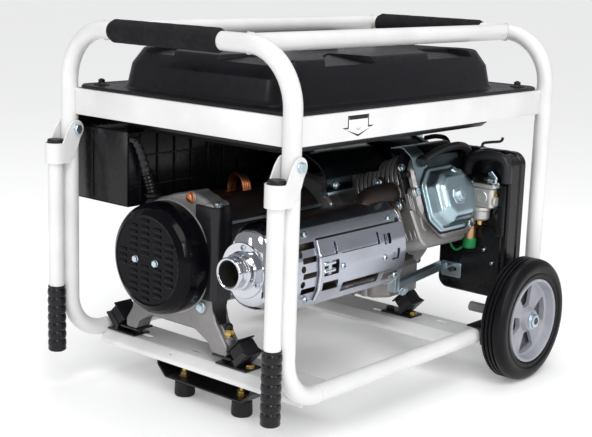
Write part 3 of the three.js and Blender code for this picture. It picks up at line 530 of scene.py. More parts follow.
def inset(points, amount):
    """Moves a counter-clockwise outline inwards by an amount."""
    out = []
    count = len(points)
    for i, here in enumerate(points):
        a = (here - points[i - 1])
        b = (points[(i + 1) % count] - here)
        a = a.normalized() if a.length > 1e-9 else b.normalized()
        b = b.normalized() if b.length > 1e-9 else a
        normal = Vector((-a.y - b.y, a.x + b.x))
        if normal.length < 1e-6:
            out.append(here.copy())
            continue
        normal.normalize()
        scale = max(0.35, normal.dot(Vector((-a.y, a.x))))
        out.append(here + normal * amount / scale)
    return out


def carve(obj, tool):
    """Cuts one object out of another and drops the tool."""
    change = obj.modifiers.new("cut", "BOOLEAN")
    change.operation = "DIFFERENCE"
    change.solver = "EXACT"
    change.object = tool
    graph = bpy.context.evaluated_depsgraph_get()
    data = bpy.data.meshes.new_from_object(obj.evaluated_get(graph))
    obj.modifiers.clear()
    obj.data = data
    bpy.data.objects.remove(tool)


def cutter(name, build):
    """A Piece that exists only to be cut out of another."""
    piece = Piece(name)
    build(piece)
    return piece.done(None, None)


# ------------------------------------------------------------------ shared dimensions
POST_X, POST_Y = 339, 240  # centre lines of the four posts
TUBE = 14  # radius of the frame tube
TOP_Z, LOW_Z = 599, 87  # centre lines of the top and bottom tubes
RAIL_Y = 153  # centre line of each long top tube
BAND = (460, 502)  # bottom and top of the sheet band
CHANNEL_TOP = 85
WHEEL_X, WHEEL_Z = 248, 108.5  # axle; its height is the tyre's radius
AXLE = (WHEEL_X, 0, WHEEL_Z)
HANDLE_X, PIVOT_Z = -368.5, 436  # centre line of a hanging handle, height of its pivot
AXIS = (0, 68, 242.5)  # crankshaft line
SIDES = (("near", -1), ("far", 1))
ENDS = (("left", -1), ("right", 1))


def polar(radius, degrees):
    """y and z of a point at a radius and angle about the crankshaft."""
    a = radians(degrees)
    return AXIS[1] + radius * cos(a), AXIS[2] + radius * sin(a)


def spoke(angle):
    """Outward direction at an angle about the crankshaft, and the turn that stands on it."""
    out, along = Vector((0, cos(angle), sin(angle))), Vector((1, 0, 0))
    return out, Matrix((along, out.cross(along), out)).transposed()


def flip(points):
    """Swaps the two numbers of each point: a Y prism takes (z, x)."""
    return [(v, u) for u, v in points]


# ------------------------------------------------------------------ tube frame
def end_hoop(name, end):
    """Bent end tube with the weld beads where rails and band meet it."""
    hoop = Piece(f"hoop_{name}")
    x, start = end * POST_X, end * 268
    path = bent([
        (start, -POST_Y, LOW_Z), (x, -POST_Y, LOW_Z), (x, -POST_Y, TOP_Z),
        (x, POST_Y, TOP_Z), (x, POST_Y, LOW_Z), (start, POST_Y, LOW_Z)], [68, 87, 87, 68], 5)
    hoop.tube(path, TUBE, WHITE, sides=32)
    for y in (-RAIL_Y, RAIL_Y):
        bead = []
        for u, v in ring(0, 0, TUBE + 0.4, 40):
            reach = sqrt(max(0, TUBE ** 2 - min(abs(v), TUBE) ** 2))
            bead.append((x - end * (reach + 0.8), y + u, TOP_Z + v))
        hoop.tube(bead, lambda t: 1.7 + 0.35 * sin(t * 150), SEAM, sides=8, cap=False)
    for y in (-POST_Y, POST_Y):
        for dx, dy in ((-end * 14.2, 0), (0, -copysign(14.2, y))):
            bead = [(x + dx, y + dy, z) for z in (BAND[0] + 2, BAND[0] + 20, BAND[1] - 4)]
            hoop.tube(bead, 1.5, SEAM, sides=8)
    hoop.done("frame", "white_enamel", f"frame_hoop_{name}")


def straight_rails():
    for name, side in SIDES:
        top = Piece(f"top_tube_{name}")
        reach = POST_X - 5
        top.tube([(x, side * RAIL_Y, TOP_Z) for x in (-reach, 0, reach)], TUBE, WHITE, sides=32)
        top.done("frame", "white_enamel", f"top_rail_{name}")
        low = Piece(f"bottom_tube_{name}")
        y = side * POST_Y
        low.tube([(x, y, LOW_Z) for x in (-267.4, 0, 267.4)], TUBE, WHITE, sides=32)
        for x in (-268, 268):
            low.lathe(ring(TUBE - 0.3, 0, 0.8, 8), SEAM, turn=toward(RIGHT),
                      origin=(x, y, LOW_Z), sides=32)
        low.done("frame", "white_enamel", f"bottom_rail_{name}")


def foam_grip(name, end):
    """Foam sleeve, slightly fuller in the middle, with soft rolled ends."""
    grip = Piece(f"foam_sleeve_{name}")
    low, high, steps = -102.5, 133.5, 30
    outer = []
    for i in range(steps + 1):
        t = i / steps
        y = low + (high - low) * t
        fade = min(1, min(t, 1 - t) * (high - low) / 5)
        outer.append((14.6 + 3.7 * sqrt(1 - (1 - fade) ** 2)
                      + 0.1 * sin(y * 0.21) + 0.06 * sin(y * 0.9), y))
    grip.lathe([(14.15, low + 0.6)] + outer + [(14.15, high - 0.6)], FOAM, axis="y",
               origin=(end * POST_X, 0, TOP_Z), sides=48)
    obj = grip.done("frame", "foam", f"foam_grip_{name}", smooth=60)


def tank_shelf():
    """Deep sheet band between the posts, with the lip the tank is bolted to."""
    band = Piece("tank_band")
    low, high = BAND
    for side in (-1, 1):
        y = sorted((side * POST_Y, side * (POST_Y - 3.2)))
        band.box((-POST_X + 8, POST_X - 8), y, (low, high), WHITE, 1.1)
        band.box((-POST_X + 8, POST_X - 8), sorted((side * (POST_Y - 2), side * (POST_Y - 30))),
                 (high - 3.2, high), WHITE, 1.1)
    for end in (-1, 1):
        x = sorted((end * POST_X, end * (POST_X - 3.2)))
        band.box(x, (-POST_Y + 8, POST_Y - 8), (low, high), WHITE, 1.1)
        band.box(sorted((end * (POST_X - 2), end * (POST_X - 30))),
                 (-POST_Y + 8, POST_Y - 8), (high - 3.2, high), WHITE, 1.1)
    band.done("frame", "white_enamel", "tank_shelf")


def arrow_mark():
    """Plain pointer mark on the band: an outlined arrow under a dark bar, no lettering."""
    mark = Piece("arrow_mark")
    x, y = -193, -POST_Y
    turn = Matrix(((1, 0, 0), (0, 0, -1), (0, 1, 0)))

    def arrow(grow):
        return [(-24 - grow, 26 + grow), (-24 - grow, 9 + grow), (-35 - 2.2 * grow, 9 + grow),
                (0, -4 - 1.4 * grow), (35 + 2.2 * grow, 9 + grow), (24 + grow, 9 + grow),
                (24 + grow, 26 + grow)]

    for shape, low, high, mat in ((arrow(0.7), 0.02, 0.16, INK_AND_SHADE), (arrow(-1.6), 0.1, 0.2, PAPER),
                                  (box_outline(-22, 22, 20.5, 25, 0.5), 0.15, 0.24, INK_AND_SHADE)):
        mark.prism(shape, low, high, mat, 0, turn=turn, origin=(x, y, 470))
    mark.tube([(x - 5, y - 0.15, 478), (x, y - 0.15, 474.5), (x + 5, y - 0.15, 478)],
              0.35, INK_AND_SHADE, sides=6)
    mark.done("frame", "white_enamel")


def cross_channel(name, x, holes):
    """Pressed hat channel between the bottom rails, with slots and holes on top."""
    channel = Piece(f"channel_{name}")
    low = 66
    outline = [(-50, low), (-47.2, low), (-45, 71), (-31, 82), (31, 82), (45, 71), (47.2, low),
               (50, low), (48.6, 73), (33, CHANNEL_TOP), (-33, CHANNEL_TOP), (-48.6, 73)]
    soft = rounded(outline, [0.4, 0.4, 3, 3, 3, 3, 0.4, 0.4, 4, 6, 6, 4], 3)
    channel.prism([(v, x + u) for u, v in soft], -POST_Y + 13.5, POST_Y - 13.5, WHITE, 0, "y")
    holes_at = cutter("channel_holes", lambda tool: [
        tool.prism(box_outline(-a, a, -b, b, min(a, b) * 0.98), 60, 100, INK_AND_SHADE, 0,
                   origin=(x + dx, y, 0)) for dx, y, a, b in holes])
    for y in (-POST_Y + 16, POST_Y - 16):
        seam = [(x + u, copysign(226.5, y), v + 0.6)
                for u, v in ((-46, 74), (-33, 85), (0, 85), (33, 85), (46, 74))]
        channel.tube(seam, 1.4, SEAM, sides=8)
    channel.done("frame", "white_enamel", f"cross_channel_{name}", cutters=[holes_at])


for end_name, end_sign in ENDS:
    end_hoop(end_name, end_sign)
straight_rails()
for end_name, end_sign in ENDS:
    foam_grip(end_name, end_sign)
tank_shelf()
arrow_mark()
cross_channel("left", -236, [
    (-40, -150, 3.2, 3.2), (-40, 62, 3.2, 3.2), (-12, -126, 4, 12), (-12, 34, 4, 12),
    (-12, 150, 4, 12), (-22, -30, 3, 3), (-22, 105, 3, 3)])
cross_channel("right", 180, [(12, -150, 4, 12), (-12, -24, 4, 12), (-12, 150, 4, 12)])


# ------------------------------------------------------------------ feet
FOOT_X, FOOT_Y = -241, 65.5


def foot_bracket():
    """Folded bracket under the left channel with turned-up ends."""
    bracket = Piece("foot_bracket_pressing")
    x0, x1 = -266, -217
    low, high = 30.4, 81.6
    side = rounded([(-107, high), (-107, 49), (-88, low), (88, low), (107, 49), (107, high)],
                   [1, 6, 8, 8, 6, 1], 4)
    bracket.prism(side, x1 - 3, x1, BLACK, 1.0, "x")
    floor_line = [(-107, 56), (-107, 49), (-88, low), (88, low), (107, 49), (107, 56)]
    inner = [(-104, 56), (-104, 50.4), (-86.6, low + 3), (86.6, low + 3), (104, 50.4), (104, 56)]
    bracket.prism(rounded(floor_line, [0, 6, 8, 8, 6, 0], 4)
                  + rounded(inner, [0, 4, 6, 6, 4, 0], 4)[::-1], x0, x1, BLACK, 0.5, "x")
    bracket.box((x0, x1), (-107, 107), (high - 3, high), BLACK, 1.0)
    bracket.box((x0, x0 + 3), (-107, 107), (high - 12, high), BLACK, 1.0)
    for y in (-FOOT_Y, FOOT_Y):
        bracket.bolt((FOOT_X, y, low + 3), UP, 5, GOLD, tail=9)
    bracket.done("frame", "black_enamel", "foot_bracket")


def rubber_foot(name, side):
    foot = Piece(f"foot_{name}")
    foot.lathe([(0, 0), (15.4, 0), (17, 1.8), (17.4, 5), (16.6, 24), (15, 27), (15, 30), (0, 30)],
               RUBBER, origin=(FOOT_X, side * FOOT_Y, 0), sides=40, soft=0.8)
    foot.done("frame", "rubber", f"rubber_foot_{name}")


foot_bracket()
for side_name, side_sign in SIDES:
    rubber_foot(side_name, side_sign)


# ------------------------------------------------------------------ wheels
def wheel_bracket(name, side):
    """Saddle over the bottom rail with the axle, its spacer, washer and nut."""
    bracket = Piece(f"axle_bracket_{name}")
    face = POST_Y + TUBE + 0.4
    span = lambda a, b: sorted((side * a, side * b))
    x0, x1 = WHEEL_X - 95, WHEEL_X + 18  # the saddle's ends
    bracket.box((x0, x1), span(face, face + 3), (74, 104.2), BLACK, 1.0)
    bracket.box((x0, x1), span(225.8, face + 3), (101.4, 104.4), BLACK, 1.0)
    bracket.box((x1 - 34, x1), span(222.8, 226), (74, 104.2), BLACK, 1.0)
    at = lambda y: (WHEEL_X, side * y, WHEEL_Z)
    bracket.rod(at(190), at(307), 6.9, ZINC)
    bracket.rod(at(172), at(224), 9, CAST)
    bracket.lathe([(7, 300.2), (15, 300.2), (15, 302), (7, 302)], ZINC, turn=toward((0, side, 0)),
                  origin=AXLE, sides=32, soft=0.4)
    bracket.bolt(at(301), (0, side, 0), 7.4, ZINC, washer=1.8, height=3.6)
    bracket.rod(at(303), at(308.6), 6.4, BRONZE, 1)
    bracket.done("frame", "black_enamel", f"wheel_bracket_{name}")


def tyre(name, side):
    """Solid tyre with three grooves and a soft shoulder."""
    piece = Piece(f"tyre_ring_{name}")
    r, back, front, mid = WHEEL_Z, 260, 305, 282.5
    outside = [(74.4, back + 5), (77, back + 3), (82, back + 1.4), (84.5, back + 2.8),
               (87, back + 0.8), (99, back + 0.4), (105.5, back + 1.4), (107.6, back + 3.6)]
    tread = []
    for groove in (-13, -5.5, 2):
        tread += [(r - depth, mid + groove + across) for depth, across in (
            (0.3, -2.6), (0.7, -1.7), (4.4, -1.1), (4.4, 1.1), (0.7, 1.7), (0.3, 2.6))]
    flank = [(107.4, front - 9), (104.5, front - 4.5), (98, front - 1), (87, front - 0.8),
             (84.5, front - 2.8), (82, front - 1.4), (77, front - 3), (74.4, front - 5)]
    profile = outside + [(r - 0.2, back + 5)] + tread + [(r - 0.2, front - 15)] + flank
    piece.lathe([(u, side * v) for u, v in profile], TYRE, axis="y",
                origin=AXLE, sides=96)
    piece.done(f"wheel_{name}", "tyre_rubber", f"tyre_{name}", smooth=50)


def wheel_rim(name, side):
    """Grey moulded rim: stepped flange, four spokes and a deep hub."""
    piece = Piece(f"rim_moulding_{name}")
    profile = [
        (7.3, 264), (16, 264), (17, 278), (30, 281), (58, 280), (65, 275), (66.5, 263.5),
        (74, 262.6), (74, 303), (72.6, 304), (70.4, 304), (68.8, 302), (66, 289), (61, 286),
        (30, 287.5), (21, 289), (18.5, 299.4), (17, 300), (7.3, 300)]
    piece.lathe([(u, side * v) for u, v in rounded(profile, 0.9, 2)], RIM, axis="y",
                origin=AXLE, sides=96)

    def windows(tool):
        for i in range(4):
            turn = radians(90 * i + 8)
            shape = rounded([(23, -9), (59, -24), (63, 0), (59, 24), (23, 9)], [3, 4, 30, 4, 3], 4)
            spun = [(u * cos(turn) - v * sin(turn), u * sin(turn) + v * cos(turn))
                    for u, v in shape]
            tool.prism(flip(spun), side * 270, side * 296, RIM, 0, "y",
                       origin=AXLE)

    piece.done(f"wheel_{name}", "rim_plastic", f"rim_{name}",
               cutters=[cutter("rim_windows", windows)])
    # darker disc and ribs behind the windows: painted shade
    back = Piece(f"rim_shade_disc_{name}")
    back.lathe([(22, side * 270.4), (63, side * 270.4), (64, side * 272.4), (22, side * 272.4)],
               RIM_SHADE, axis="y", origin=AXLE, sides=72)
    for i in range(8):
        a = pi * i / 4
        out = Vector((cos(a), 0, sin(a)))
        base = Vector((WHEEL_X, side * 273, WHEEL_Z))
        back.tube([base + out * 24, base + out * 61], 1.6, RIM_SHADE, sides=8)
    back.done(f"wheel_{name}", "rim_plastic")


for side_name, side_sign in SIDES:
    wheel_bracket(side_name, side_sign)
    tyre(side_name, side_sign)
    wheel_rim(side_name, side_sign)


# ------------------------------------------------------------------ lift handles
def lift_handle(name, side):
    """Tube with its folded clevis: a strap round the tube and two ears astride the post."""
    piece = Piece(f"lift_handle_{name}")
    y, x = side * POST_Y, -POST_X
    ear = [(HANDLE_X + 1, 381.6), (-359, 383.4), (-349, 389), (-340.5, 398), (-335.5, 408),
           (-331, 421)] + arc(x, PIVOT_Z, 14.6, -35, 150, 12) + [
           (-356, 438), (-360, 430), (-364.5, 420), (HANDLE_X + 1, 414.6)]
    for low, high in ((-17.4, -14.9), (14.9, 17.4)):
        piece.prism(flip(ear), y + low, y + high, WHITE, 0.7, "y")
    outer = [(-351, y - 17.1)] + arc(HANDLE_X, y, 17.1, 270, 90, 20) + [(-351, y + 17.1)]
    inner = [(-351, y + 14.7)] + arc(HANDLE_X, y, 14.7, 90, 270, 20) + [(-351, y - 14.7)]
    piece.prism(outer + inner, 381.6, 414.6, WHITE, 0)
    at = (HANDLE_X, y, 0)
    piece.lathe([(11, 70), (12.5, 70), (12.5, 412), (11, 412)], WHITE, origin=at, sides=40)
    piece.lathe([(12.2, 384), (15.1, 384), (15.1, 412), (12.2, 412)], WHITE, origin=at, sides=40,
                soft=0.8)
    piece.lathe([(0, 405), (11.6, 405), (11.6, 413.4), (13.2, 414.2), (13.2, 418.6), (11.8, 420.4),
                 (0, 420.5)], MATT_BLACK, origin=at, sides=36, soft=0.5)
    piece.done(f"lift_handle_{name}", "white_enamel", f"handle_{name}")


def handle_grip(name, side):
    """Moulded grip: seven fat rings with rows of small nubs between finger valleys."""
    piece = Piece(f"grip_{name}")
    low, high = 65, 177
    pitch = (high - low - 10) / 7
    profile = [(0, low), (12.5, low), (14.6, low + 1.6), (15, low + 4)]
    for i in range(7):
        z = low + 6 + i * pitch
        for k in range(1, 8):
            t = k / 8
            profile.append((13.7 + 1.5 * sin(pi * t) ** 0.6, z + pitch * t))
        profile.append((13.55, z + pitch))
    profile += [(14.3, high - 2.4), (14.3, high - 0.8), (13.6, high), (12.7, high),
                (12.7, low + 5), (0, low + 5)]
    piece.lathe(profile, GRIP, origin=(HANDLE_X, side * POST_Y, 0), sides=48)
    for i in range(7):
        z = low + 6 + (i + 0.5) * pitch
        for k in range(14):
            a = 2 * pi * (k + 0.5 * (i % 2)) / 14
            out = Vector((cos(a), sin(a), 0))
            at = Vector((HANDLE_X, side * POST_Y, z)) + out * 14.7
            piece.lathe([(0, 0.75), (0.8, 0.6), (1.3, 0), (0, 0)], GRIP,
                        turn=toward(out), origin=at, sides=8)
    piece.done(f"lift_handle_{name}", "rubber", f"handle_grip_{name}", smooth=50)


def pivot_bolt(name, side):
    piece = Piece(f"pivot_{name}")
    y = side * POST_Y
    at = lambda d: (-POST_X, y + side * d, PIVOT_Z)
    piece.bolt(at(17.6), (0, side, 0), 4.6, ZINC, washer=1.75, height=4)
    piece.rod(at(-24), at(17.6), 3.9, ZINC)
    piece.bolt(at(-17.6), (0, -side, 0), 4.4, ZINC, washer=1.6, height=5)
    piece.done("frame", "zinc_plate", f"pivot_bolt_{name}")


for side_name, side_sign in SIDES:
    lift_handle(side_name, side_sign)
    handle_grip(side_name, side_sign)
    pivot_bolt(side_name, side_sign)


# ------------------------------------------------------------------ fuel tank
TANK_HALF, TANK_MID = (283, 188), (-11, -3)  # half size and middle in x and y
FILLER = (10, 20, 0)  # the filler's axis


def tank_section(shrink, z, radius):
    w, d = TANK_HALF[0] - shrink, TANK_HALF[1] - shrink
    cx, cy = TANK_MID
    return [(u, v, z) for u, v in box_outline(cx - w, cx + w, cy - d, cy + d, radius, 8)]


def upper_tank():
    """Upper pressing: upright wall, a crease, a sloping shoulder and an embossed crown."""
    piece = Piece("tank_upper")
    levels = [(-6, 506, 52), (0, 509, 48), (2.5, 514, 47), (8, 543, 44), (9, 546, 43),
              (24, 569.2, 34), (26, 570.8, 33), (29, 571.6, 32), (60, 573, 20)]
    piece.loft([tank_section(*level) for level in levels], TANK)
    flange = rounded([(-315, -233), (315, -233), (332, -216), (332, 216), (315, 233), (-315, 233),
                      (-332, 216), (-332, -216)], 8, 4)
    piece.prism(flange, 502.4, 506.8, TANK, 1.6)
    piece.tube([(u, v, 505.4) for u, v in flange], 2.3, TANK, sides=10, cap=False)
    piece.lathe([(26, 566), (30.5, 566), (30.5, 573), (29, 577), (29, 583.5), (26, 583.5)],
                TANK, origin=FILLER, sides=56, soft=0.6)
    for x in (-300, 300):
        for y in (-207, 207):
            piece.lathe([(0, 0), (13, 0), (13, 1.4), (8, 2.4), (6.4, 4), (0, 4)], MATT_BLACK,
                        origin=(x, y, 506.6), sides=32, soft=0.4)
            piece.bolt((x, y, 510), UP, 3.4, MATT_BLACK, washer=1.6, tail=1.5)

    def recesses(tool):
        """Angular bites out of the crown's edge whose floors fall outward."""
        for which, sign, along, inward, fall, reach in (
                (1, -1, (-205, -62, -105, -150), (6, 6, 86, 60), 13, 84),
                (1, -1, (62, 205, 188, 120), (6, 6, 60, 78), 13, 84),
                (1, 1, (-180, -80, -100, -150), (6, 6, 74, 60), 13, 84),
                (1, 1, (80, 190, 165, 110), (6, 6, 60, 74), 13, 84),
                (0, -1, (-140, -20, -50, -95), (6, 6, 66, 76), 11, 78),
                (0, 1, (-130, -10, -40, -100), (6, 6, 70, 60), 11, 78),
                (0, -1, (60, 140, 110, 80), (6, 6, 60, 56), 11, 78),
                (0, 1, (60, 140, 110, 80), (6, 6, 60, 56), 11, 78)):
            edge = TANK_MID[which] + sign * TANK_HALF[which]
            floor, roof = [], []
            for a, depth in zip(along, inward):
                b = edge - sign * depth
                u, v = (a, b) if which else (b, a)
                floor.append((u, v, 571.4 - fall * (1 - min(1, abs(b - edge) / reach))))
                roof.append((u, v, 590))
            tool.loft([floor, roof], TANK)

    piece.done("frame", "black_enamel", "fuel_tank_upper", smooth=24,
               cutters=[cutter("tank_recesses", recesses)])


def lower_tank():
    piece = Piece("tank_lower")
    levels = [(34, 437, 30), (20, 437.6, 34), (9, 440, 38), (3, 446, 42), (1, 456, 44),
              (1, 501, 44)]
    piece.loft([tank_section(*level) for level in levels], TANK)
    for i in range(4):
        x = -180 + i * 112
        piece.box((x - 8, x + 8), (-120, 112), (436, 439), TANK, 0.9)
    piece.done("frame", "black_enamel", "fuel_tank_lower", smooth=30)


def fuel_cap():
    """Ribbed screw cap with a raised centre."""
    piece = Piece("filler_cap")
    low = 574
    piece.lathe([(0, low + 10), (31, low + 10), (31, low), (38.6, low), (39.4, low + 1),
                 (39.4, low + 14), (37, low + 17.6), (26, low + 18.4), (24, low + 20),
                 (0, low + 20.2)],
                MATT_BLACK, origin=FILLER, sides=64, soft=0.5)
    for i in range(28):
        a = 2 * pi * i / 28
        out = Vector((cos(a), sin(a), 0))
        base = Vector(FILLER) + Vector((0, 0, low)) + out * 39.2
        piece.rod(base + Vector((0, 0, 1.5)), base + Vector((0, 0, 14)), 1.5, MATT_BLACK, sides=8)
    piece.done("cap", "dark_plastic", "fuel_cap")


upper_tank()
lower_tank()
fuel_cap()


# ------------------------------------------------------------------ alternator
def end_cover():
    """Domed gloss cover with five columns of pressed louvres and two bolts through it."""
    piece = Piece("end_cover")
    front = -325.6
    piece.turned(rounded([
        (0, front - 0.4), (70, front + 0.2), (73, front - 1.0), (75.5, front + 0.6),
        (82, front + 4.5), (88.5, front + 13), (90.8, front + 27), (90.8, -276), (89, -274.4),
        (84, -274.4), (0, -276)], [0, 3, 1, 1.5, 9, 12, 14, 1.5, 0.8, 0, 0], 5, closed=False),
        GLOSS, 96)
    for dy in (57, 32, 5, -23, -49):
        for row in range(-6, 7):
            dz = row * 10.6
            if (abs(dy) + 8) ** 2 + dz ** 2 > 68 ** 2 or (abs(dz) < 8 and abs(dy) < 40):
                continue
            y, z = AXIS[1] + dy, AXIS[2] + dz
            hood = box_outline(y - 9.5, y + 9.5, z - 2.4, z + 2.8, 2.4, 3)
            piece.prism(hood, front - 2.0, front + 0.8, GLOSS, 1.2, "x")
            # dark strip under each hood: painted shade standing for the louvre's opening
            piece.box((front - 0.5, front + 1), (y - 8, y + 8), (z - 3.6, z - 2.6), INK_AND_SHADE, 0)
    for dy in (-20, 26):
        piece.bolt((front, AXIS[1] + dy, AXIS[2] - 1), LEFT, 3.3, ZINC, washer=1.8, height=3)
    piece.turned([(84, -277), (93, -277), (93, -272), (84, -272)], CAST, 96, 0.8)
    piece.done("frame", "gloss_cover", "alternator_cover")


def end_bell():
    """Cast end bracket with its bolt ears, arm and feet."""
    piece = Piece("end_bracket")
    outline = [(-58, 101), (-26, 101), (-18, 116), (14, 132), (118, 132), (146, 116), (152, 101),
               (176, 101), (176, 116), (160, 140), (166, 200), (164, 276), (130, 318), (96, 334),
               (60, 346), (34, 352), (12, 353), (-6, 348), (-28, 338), (-32, 320), (-24, 290),
               (-26, 180), (-34, 152), (-58, 118)]
    soft = rounded(outline, [5, 6, 10, 14, 14, 10, 5, 5, 8, 14, 20, 24, 20, 16, 12, 8, 8, 8, 8, 8,
                             12, 16, 14, 8], 4)
    piece.prism(soft, -273.6, -240, BELL, 2.4, "x")
    for y, z in ((22, 345), (-18, 332), (120, 318), (-4, 170), (140, 168)):
        piece.rod((-276, y, z), (-238, y, z), 10.5, BELL, 1.5)
    for y, z, size, mat, washer, tall in (
            (22, 345, 4.2, COPPER, 2.1, 2.5), (120, 318, 3.8, ZINC, 1.9, 3),
            (140, 168, 3.8, ZINC, 1.9, 3), (-4, 172, 4.2, ZINC, 2.2, 3.4)):
        piece.bolt((-276, y, z), LEFT, size, mat, washer, tall)
    for y in (-49, 164):
        piece.rod((-257, y, 112), (-257, y, 131), 12.5, BELL, 3)
        piece.bolt((-257, y, 131), UP, 4.8, GOLD, washer=2, height=9)
        piece.lathe([(0, 0), (6.4, 0), (6.2, 6), (4, 9), (0, 9.6)], MATT_BLACK,
                    origin=(-257, y, 142), sides=24, soft=1)
    piece.prism([(-24, 176), (-14, 150), (-46, 116), (-58, 116), (-56, 126), (-36, 150)], -266,
                -248, BELL, 3, "x")
    piece.done("frame", "cast_aluminium", "alternator_bell")


def stator():
    """Laminated stack with its clamp bands and long through bolts."""
    piece = Piece("stator_stack")
    stack = [(60, -239), (92, -239), (93, -236), (93, 7), (92, 9.6), (60, 9.6)]
    piece.turned(rounded(stack, 1.5, 2),
                STATOR, 96)
    for angle in (38, 142, 218, 322):
        y, z = polar(95.5, angle)
        piece.rod((-238, y, z), (9, y, z), 3.2, ZINC)
    for x in (-236, -1):
        piece.turned([(90, x - 1), (94.4, x - 1), (94.4, x + 8), (90, x + 8)], STEEL, 96, 0.6)
    for i in range(4):
        coil = [(-134 + 5 * i, 60 + 18 * cos(a), 336 + (27 - i) * sin(a))
                for a in [pi * k / 24 for k in range(25)]]
        piece.tube(coil, 2.4, COPPER, sides=10)
    for angle in (78, 101):
        y, z = polar(92.6, angle)
        piece.rod((-236, y, z), (6, y, z), 2, RUST)
    piece.done("frame", "laminations", "alternator_stator")


def adapter():
    """Cast ring that joins the alternator to the engine, ribbed, with bolt bosses."""
    piece = Piece("adapter_casting")
    outline = [(-10, 150), (146, 150), (160, 170), (160, 286), (118, 322), (92, 340), (44, 346),
               (-6, 338), (-30, 306), (-30, 176)]
    piece.prism(rounded(outline, 14, 4), 10.2, 43.8, CAST, 3, "x")
    for i in range(7):
        a = radians(60 + i * 20)
        out = Vector((0, cos(a), sin(a)))
        base = Vector((27, AXIS[1], AXIS[2])) + out * 88
        piece.box((-15, 15), (-1.6, 1.6), (0, 18), CAST, 0.6, turn=toward(out), origin=base)
    for y, z in ((-16, 322), (100, 328), (-14, 168), (146, 168)):
        piece.rod((4, y, z), (40, y, z), 9, CAST, 1.5)
        piece.bolt((4, y, z), LEFT, 3.8, ZINC, washer=1.8, height=3)
    piece.done("frame", "cast_aluminium", "alternator_adapter")


def heat_plate():
    """Black folded shield between the end bracket and the muffler, running down the foot."""
    piece = Piece("heat_shield")
    face = rounded([(-276, 10), (-277.4, -26), (-269, -37.5), (-257, -33.5), (-245, -38),
                    (-233.5, -29)], [0, 6, 7, 12, 7, 0], 5, closed=False)
    back = [(x + 1.4, y + 1.6) for x, y in face]
    piece.prism(face + back[::-1], 186, 336, BLACK, 0)
    piece.prism(face + [(-236, 10)], 334, 336.6, BLACK, 0)
    piece.loft([[(x0, y, z), (x1, y, z), (x1, y + 2, z), (x0, y + 2, z)] for z, y, x0, x1 in (
        (190, -30, -276, -240), (172, -31, -275, -246), (156, -38, -272, -252),
        (150, -42, -268, -256))], BLACK)
    piece.bolt((-262, -22, 336.6), UP, 4.2, ZINC, washer=2.4, height=3.4)
    piece.done("frame", "black_enamel", "heat_plate")


def conduit():
    """Cable run in two parts: corrugated hose at the alternator, thinner bundle above."""
    piece = Piece("cable_conduit")
    low = curl([(-277, 109, 337), (-281, 109, 352), (-287, 109, 368), (-291, 110, 378)], 1.0)
    piece.tube(low, lambda t: 9.4 + 1.3 * sin(t * 44), MOULDED, sides=28)
    high = curl([(-290, 110, 375), (-297, 110, 396), (-303, 111, 412), (-311, 113, 428)], 1.5)
    piece.tube(high, lambda t: 8.2 - 2.4 * t + 0.5 * sin(t * 31), BLACK, sides=28)
    piece.lathe([(0, 0), (13, 0), (13, 4), (10, 6), (0, 6)], MATT_BLACK, origin=(-277, 109, 334),
                sides=28, soft=0.8)
    piece.box((-317, -303), (110, 121.6), (424, 432), MATT_BLACK, 1.5)
    piece.done("frame", "dark_plastic", "panel_conduit", smooth=60)


def crank_rotor():
    """Shaft, rotor pack and flywheel with its fan blades."""
    piece = Piece("rotor_and_flywheel")
    piece.turned([(0, -312), (11, -312), (12, -310), (12, -280), (16, -280), (16, 285), (0, 285)],
                STEEL, 40)
    piece.turned([(15, -215), (58.5, -215), (58.5, -20), (15, -20)], STATOR, 64, 1)
    piece.turned([(15, 232), (103, 232), (103.6, 236), (103.6, 244), (88, 248), (15, 248)], CAST,
                 72, 1)
    for i in range(20):
        turn = spoke(2 * pi * i / 20)[1]
        piece.box((246, 261), (-1.2, 1.2), (62, 101), CAST, 0.4, turn=turn, origin=AXIS)
    piece.done("rotor", "laminations", "crankshaft_rotor")


end_cover()
end_bell()
stator()
adapter()
heat_plate()
conduit()
crank_rotor()


# ------------------------------------------------------------------ rubber mounts
def rubber_mount(end, x, side_name, side):
    """Bonded block leaning at 45 degrees between two folded steel plates."""
    piece = Piece(f"mount_{end}_{side_name}")
    mirror = Matrix(((1, 0, 0), (0, side, 0), (0, 0, 1)))
    start = Vector((x, 62, 0))  # midway between the near and the far mount
    turn = mirror @ Matrix.Rotation(radians(45), 3, "X")
    centre = start + mirror @ Vector((0, 143, 112))
    piece.box((-17, 17), (-15, 15), (-13, 13), RUBBER, 3, turn=turn, origin=centre)
    for z in (-15.5, 13):
        piece.box((-18.6, 18.6), (-18, 18), (z, z + 2.6), BLACK, 0.7, turn=turn, origin=centre)
    for dx in (-18.6, 16.4):
        piece.prism(rounded([(-20, -15), (18, -15), (12, -4), (-16, -4)], 2, 2), dx, dx + 2.2,
                    BLACK, 0.4, turn=turn @ AXES["x"], origin=centre)
    piece.box((-18, 18), (96, 163), (85.3, 88.3), BLACK, 0.8, turn=mirror, origin=start)
    arm_top = 101 if end == "left" else 136.3
    piece.box((-18, 18), (88, 130), (arm_top - 4, arm_top - 0.4), BLACK, 0.8, turn=mirror,
              origin=start)
    for y in (104, 154):
        at = start + mirror @ Vector((0, y, 88.2))
        piece.bolt(at, UP, 4.2, GOLD if y > 120 else BLACK, washer=1.9, height=4)
    piece.done("frame", "rubber", f"mount_{end}_{side_name}")


for side_name, side_sign in SIDES:
    rubber_mount("left", -254, side_name, side_sign)
    rubber_mount("right", 180, side_name, side_sign)


# ------------------------------------------------------------------ engine
TILT = radians(20)  # how far the cylinder leans back from level
CYL = Matrix(((1, 0, 0), (0, sin(TILT), -cos(TILT)), (0, cos(TILT), sin(TILT))))
OUTWARD = CYL @ Vector((0, 0, 1))


def place(x, h, d):
    """A point in the leaning cylinder's own x, height across and distance out."""
    return Vector(AXIS) + CYL @ Vector((x, h, d))


